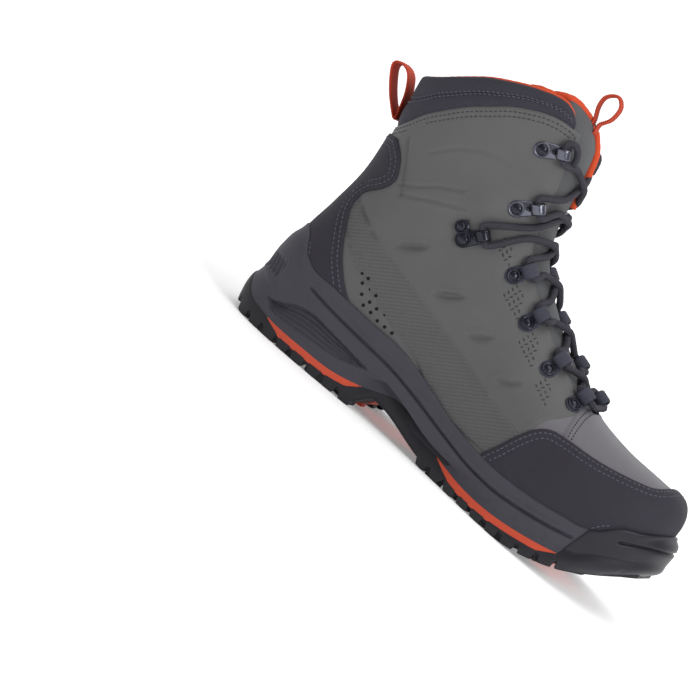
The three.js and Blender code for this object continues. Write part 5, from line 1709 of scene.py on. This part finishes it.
def round_edge(sheet, lift_of, keep, radius, name, slot, sink, reshape=np.array):
    """A cord sewn along the part of a sheet's border where keep holds."""
    flat, faces, params = joined(*sheet)
    edges = border_edges(faces)
    after = dict(zip(edges[:, 0].tolist(), edges[:, 1].tolist()))
    good = {int(v) for v in np.unique(edges) if keep(flat[v])}
    cords = []
    for start in [v for v in good if v not in {after[u] for u in good if u in after}]:
        run, here = [start], after.get(start)
        while here in good and here != start:
            run.append(here)
            here = after.get(here)
        if len(run) > 8:
            line = form(params[run, 0], params[run, 1], lift_of(params[run], flat[run]))
            line[:, 2] += sink
            cords.append(tube(even_points(reshape(line), 1.3, rounds=4)[0], radius, 10)[:2])
    piece(name, *together(cords), "piping", slot, closed=True)


round_edge(collar_sheet, lambda q, p: np.full(len(q), -5.0),
           lambda p: p[2] > brim_line(min(p[0], BRIM_FRONT)) - 5 or (p[0] > BRIM_FRONT - 5 and p[2] > 214),
           1.9, "collar_piping", "collar_fabric", 2.7)
round_edge(tongue_sheet, lambda q, p: -5.7 - tuck(q, p), lambda p: p[2] > tongue_top(p) - 1.5, 2.9,
           "tongue_roll", "tongue_fabric", 3.0, lean_back)
edge_line = []
for station in np.linspace(12.4, LAST - 1.0, 24):
    turn = float(front_turn(station, float(section_curves[5](station)) + 13))
    edge_line.append(form(station, turn, np.array(-1.4)))
points, faces, _ = tube(even_points(lean_back(np.array(edge_line)), 1.3)[0], 2.8, 10)
piece("tongue_edge", points, faces, "piping", "tongue_fabric", closed=True)


# ---------------------------------------------------------------- tread
FIELD = (0.885, 0.115)
TEETH = [0.3, 0.62, 0.5, 0.6, 0.3, 0.22]
TOOTH = 0.0242


def field_half(x):
    """Half width of the coloured middle of the tread."""
    at = (np.asarray(x, float) + HEEL_SETBACK) / SOLE_LENGTH
    count = round((FIELD[0] - FIELD[1]) / TOOTH)
    place = (FIELD[0] - at) / (FIELD[0] - FIELD[1]) * count
    index = np.arange(count + 1)
    taper = np.minimum(1, 0.35 + 0.25 * np.minimum(index, count - index))
    shares = np.interp(place, index, np.array(TEETH)[index % 6] * taper)
    reach = plan_half(turn_of(at)) * shares
    return np.where((place < 0) | (place > count), -1.0, reach)


def tread_sheet(name, material, slot, node_name, field, drop):
    """The part of the tread's underside where a field is above zero."""
    x, share = (v.ravel() for v in np.meshgrid(np.linspace(x_at(0.004), x_at(0.996) - 6.5, 300),
                                               np.linspace(-1, 1, 61), indexing="ij"))
    turn = turn_at(x)
    y = plan_middle(turn) + share * np.maximum(plan_half(turn) - 1.0 - toe_round(x, 1.0), 0.5)
    packed, faces = cut_packed(np.stack([x, y, base_line(x)], -1), grid_triangles(300, 61), field)
    packed, faces = welded(packed, faces)
    edges = border_edges(faces)
    low = packed - [0, 0, drop]
    skirt = low[np.unique(edges)] + [0, 0, 3.0]
    piece(name, *with_rim(low, faces, edges, [skirt]), material, slot, node_name, smooth=False)


def in_colour(packed):
    return field_half(packed[:, 0]) - np.abs(packed[:, 1] - plan_middle(turn_at(packed[:, 0])))


tread_sheet("tread_base", "rubber", "outsole_rubber", "outsole", lambda p: -in_colour(p) - 0.15, 0.0)
tread_sheet("tread_field", "inlay", "inlay_rubber", "sole_inlay", lambda p: in_colour(p) - 0.15, 0.25)

LUG_PITCH, LUG_SPREAD, LUG_RADIUS = 20.0, 0.195 * BALL_WIDTH, 8.8
HEXAGON = [(LUG_RADIUS * np.cos(t), LUG_RADIUS * np.sin(t)) for t in np.arange(6) * PI / 3 + PI / 6]


def lug_centres():
    rows = []
    for row in range(-3, 15):
        shift = 0 if row % 2 == 0 else 0.5
        for place in range(-3, 4):
            x, y = row * LUG_PITCH, (place + shift) * LUG_SPREAD
            at = (x + HEEL_SETBACK) / SOLE_LENGTH
            if not 0.01 <= at <= 0.89 or HEEL_FLAT[1] + 6 < x < BALL_FLAT[0] - 10:
                continue
            turn = turn_of(at)
            aside, half = abs(y - float(plan_middle(turn))), float(plan_half(turn))
            if aside < half + LUG_RADIUS * 0.55:
                coloured = aside < half * 0.42 and FIELD[1] < at < FIELD[0] - 0.02
                rows.append((x, y, coloured))
    return rows


def lug_item(gap=0.55):
    """A hexagonal lug of three rhombic blocks with a Y-shaped slit between them, standing down."""
    pieces = []
    corners = np.array(HEXAGON)
    for k in range(3):
        outline = np.array([(0, 0), corners[2 * k], corners[(2 * k + 1) % 6], corners[(2 * k + 2) % 6]])
        middle = outline.mean(0)
        dense = []
        for a, b in zip(outline, np.roll(outline, -1, axis=0)):
            dense += [a + (b - a) * t / 5 for t in range(5)]
        dense, rows = np.array(dense), []
        for size, depth in ((1.0, 1.2), (0.97, -0.3), (0.93, -2.6), (0.88, -3.5)):
            shrink = size - gap / LUG_RADIUS
            rows.append(np.c_[middle + (dense - middle) * shrink, np.full(len(dense), depth)])
        n = len(dense)
        faces = [tuple(3 * n + j for j in range(n))]
        for row in range(3):
            for j in range(n):
                m = (j + 1) % n
                faces.append((row * n + m, row * n + j, (row + 1) * n + j, (row + 1) * n + m))
        pieces.append((np.vstack(rows), faces))
    return together(pieces)


def laid_on_tread(points):
    """Lugs follow the tread's curve and stay inside the sole's outline."""
    x, y, z = points.T
    x = np.clip(x, x_at(0.01), x_at(0.994) - 7.5)
    turn = turn_at(x)
    middle, half = plan_middle(turn), np.maximum(plan_half(turn) - 2.0 - toe_round(x, 0.0), 0.5)
    return np.stack([x, np.clip(y, middle - half, middle + half), ground_line(x) + TREAD_DEPTH + z], -1)


for coloured, name, material, slot in ((False, "black_lugs", "rubber", "outsole_rubber"),
                                       (True, "orange_lugs", "inlay", "inlay_rubber")):
    spots = [(x, y, 0) for x, y, mark in lug_centres() if mark == coloured]
    aims = [(1, 0, 0) if i % 2 else (0.5, 0.866, 0) for i in range(len(spots))]
    facing_out(placed_copies(name, lug_item(), spots, aims, [(0, 0, 1)] * len(spots), material,
                             reshape=laid_on_tread, smooth=False))

# ---------------------------------------------------------------- insole
inner_tree = form_tree(-UPPER_WALL - CLEARANCE)
xs = np.linspace(-41, 241, 95)
rows = []
for x in xs:
    height = float(bed_line(x)) + CLEARANCE + 4.0
    middle = float(plan_middle(turn_at(x)))
    reach = []
    for side in (-1, 1):
        hit = inner_tree.ray_cast(Vector((x, middle, height)), Vector((0, side, 0)), 80)
        reach.append(hit[0][1] + 1.2 * side if hit[0] is not None else middle + side)
    rows.append([(x, reach[0] + (reach[1] - reach[0]) * k / 24, height - 1.5 * abs(k / 12 - 1) ** 6)
                 for k in range(25)])
top = np.array(rows).reshape(-1, 3)
count = len(xs)
faces = [(i * 25 + j, (i + 1) * 25 + j, (i + 1) * 25 + j + 1, i * 25 + j + 1)
         for i in range(count - 1) for j in range(24)]
rim = [i * 25 for i in range(count)] + [(count - 1) * 25 + j for j in range(1, 25)]
rim += [i * 25 + 24 for i in reversed(range(count - 1))] + list(reversed(range(1, 24)))
under = top[rim] - [0, 0, 6.0]
walls = [(rim[(k + 1) % len(rim)], rim[k], len(top) + k, len(top) + (k + 1) % len(rim)) for k in range(len(rim))]
piece("footbed", np.vstack([top, under]), faces + walls, "insole", "insole_foam", "insole")

# ---------------------------------------------------------------- camera, light and floor
RIGHT = np.array([0.9667, 0.2536, -0.0368])
UP = np.array([0, 0.1439, 0.9896])
BACK = np.array([0.2563, -0.9566, 0.1391])
ROLLED_RIGHT = unit(0.7604 * RIGHT + 0.6494 * UP)
BACK = unit(BACK - ROLLED_RIGHT * (BACK @ ROLLED_RIGHT))
ROLLED_UP = np.cross(BACK, ROLLED_RIGHT)
FRAME_WIDTH = 429.4
DISTANCE = 2300.0
centre = 26.93 * ROLLED_RIGHT + 5.89 * ROLLED_UP
camera = linked_object("camera", bpy.data.cameras.new("camera"))
axes = np.eye(4)
axes[:3, 0], axes[:3, 1], axes[:3, 2] = ROLLED_RIGHT, ROLLED_UP, BACK
axes[:3, 3] = (centre + BACK * (DISTANCE + 40)) * 0.001
camera.matrix_world = Matrix(axes.tolist())
camera.data.sensor_width = 36
camera.data.lens = 36 * DISTANCE / FRAME_WIDTH
camera.data.clip_start, camera.data.clip_end = 0.1, 60
bpy.context.scene.camera = camera
bpy.context.scene.view_settings.view_transform = "Standard"


def lamp(name, place, target, power, size):
    data = bpy.data.lights.new(name, "AREA")
    data.energy, data.size = power, size
    made = linked_object(name, data)
    made.location = place
    made.rotation_mode = "QUATERNION"
    made.rotation_quaternion = (Vector(target) - Vector(place)).to_track_quat("-Z", "Y")


lamp("soft_top", (0.35, -0.25, 1.9), (0.08, 0, 0.08), 17, 1.6)
lamp("soft_front", (1.35, -0.95, 0.95), (0.08, 0, 0.1), 12, 0.7)
lamp("soft_back", (-1.3, 0.5, 0.9), (0.08, 0, 0.1), 3, 0.9)

world = bpy.data.worlds.new("studio")
bpy.context.scene.world = world
world.use_nodes = True
world.node_tree.nodes["Background"].inputs["Color"].default_value = (1, 1, 1, 1)
world.node_tree.nodes["Background"].inputs["Strength"].default_value = 0.4

floor_points = []
sweep = np.linspace(0, PI / 2, 17)
for x in (-6000, 6000):
    line = [(-5000, 0)] + [(2500 + 2500 * np.sin(a), 2500 - 2500 * np.cos(a)) for a in sweep] + [(5000, 6000)]
    floor_points += [(x, y, z) for y, z in line]
half = len(floor_points) // 2
floor_faces = [(i, i + half, i + half + 1, i + 1) for i in range(half - 1)]
tree = MATERIALS["paper"].node_tree
shader = tree.nodes["Principled BSDF"]
shader.inputs["Emission Color"].default_value = (1, 1, 1, 1)
away = node(tree, "ShaderNodeVectorMath", operation="LENGTH")
tree.links.new(node(tree, "ShaderNodeTexCoord").outputs["Object"], away.inputs[0])
tree.links.new(ramped(tree, away.outputs["Value"], 0.2, 0.6), shader.inputs["Emission Strength"])
floor = mesh_object("floor", np.array(floor_points), floor_faces, MATERIALS["paper"], ride=False)
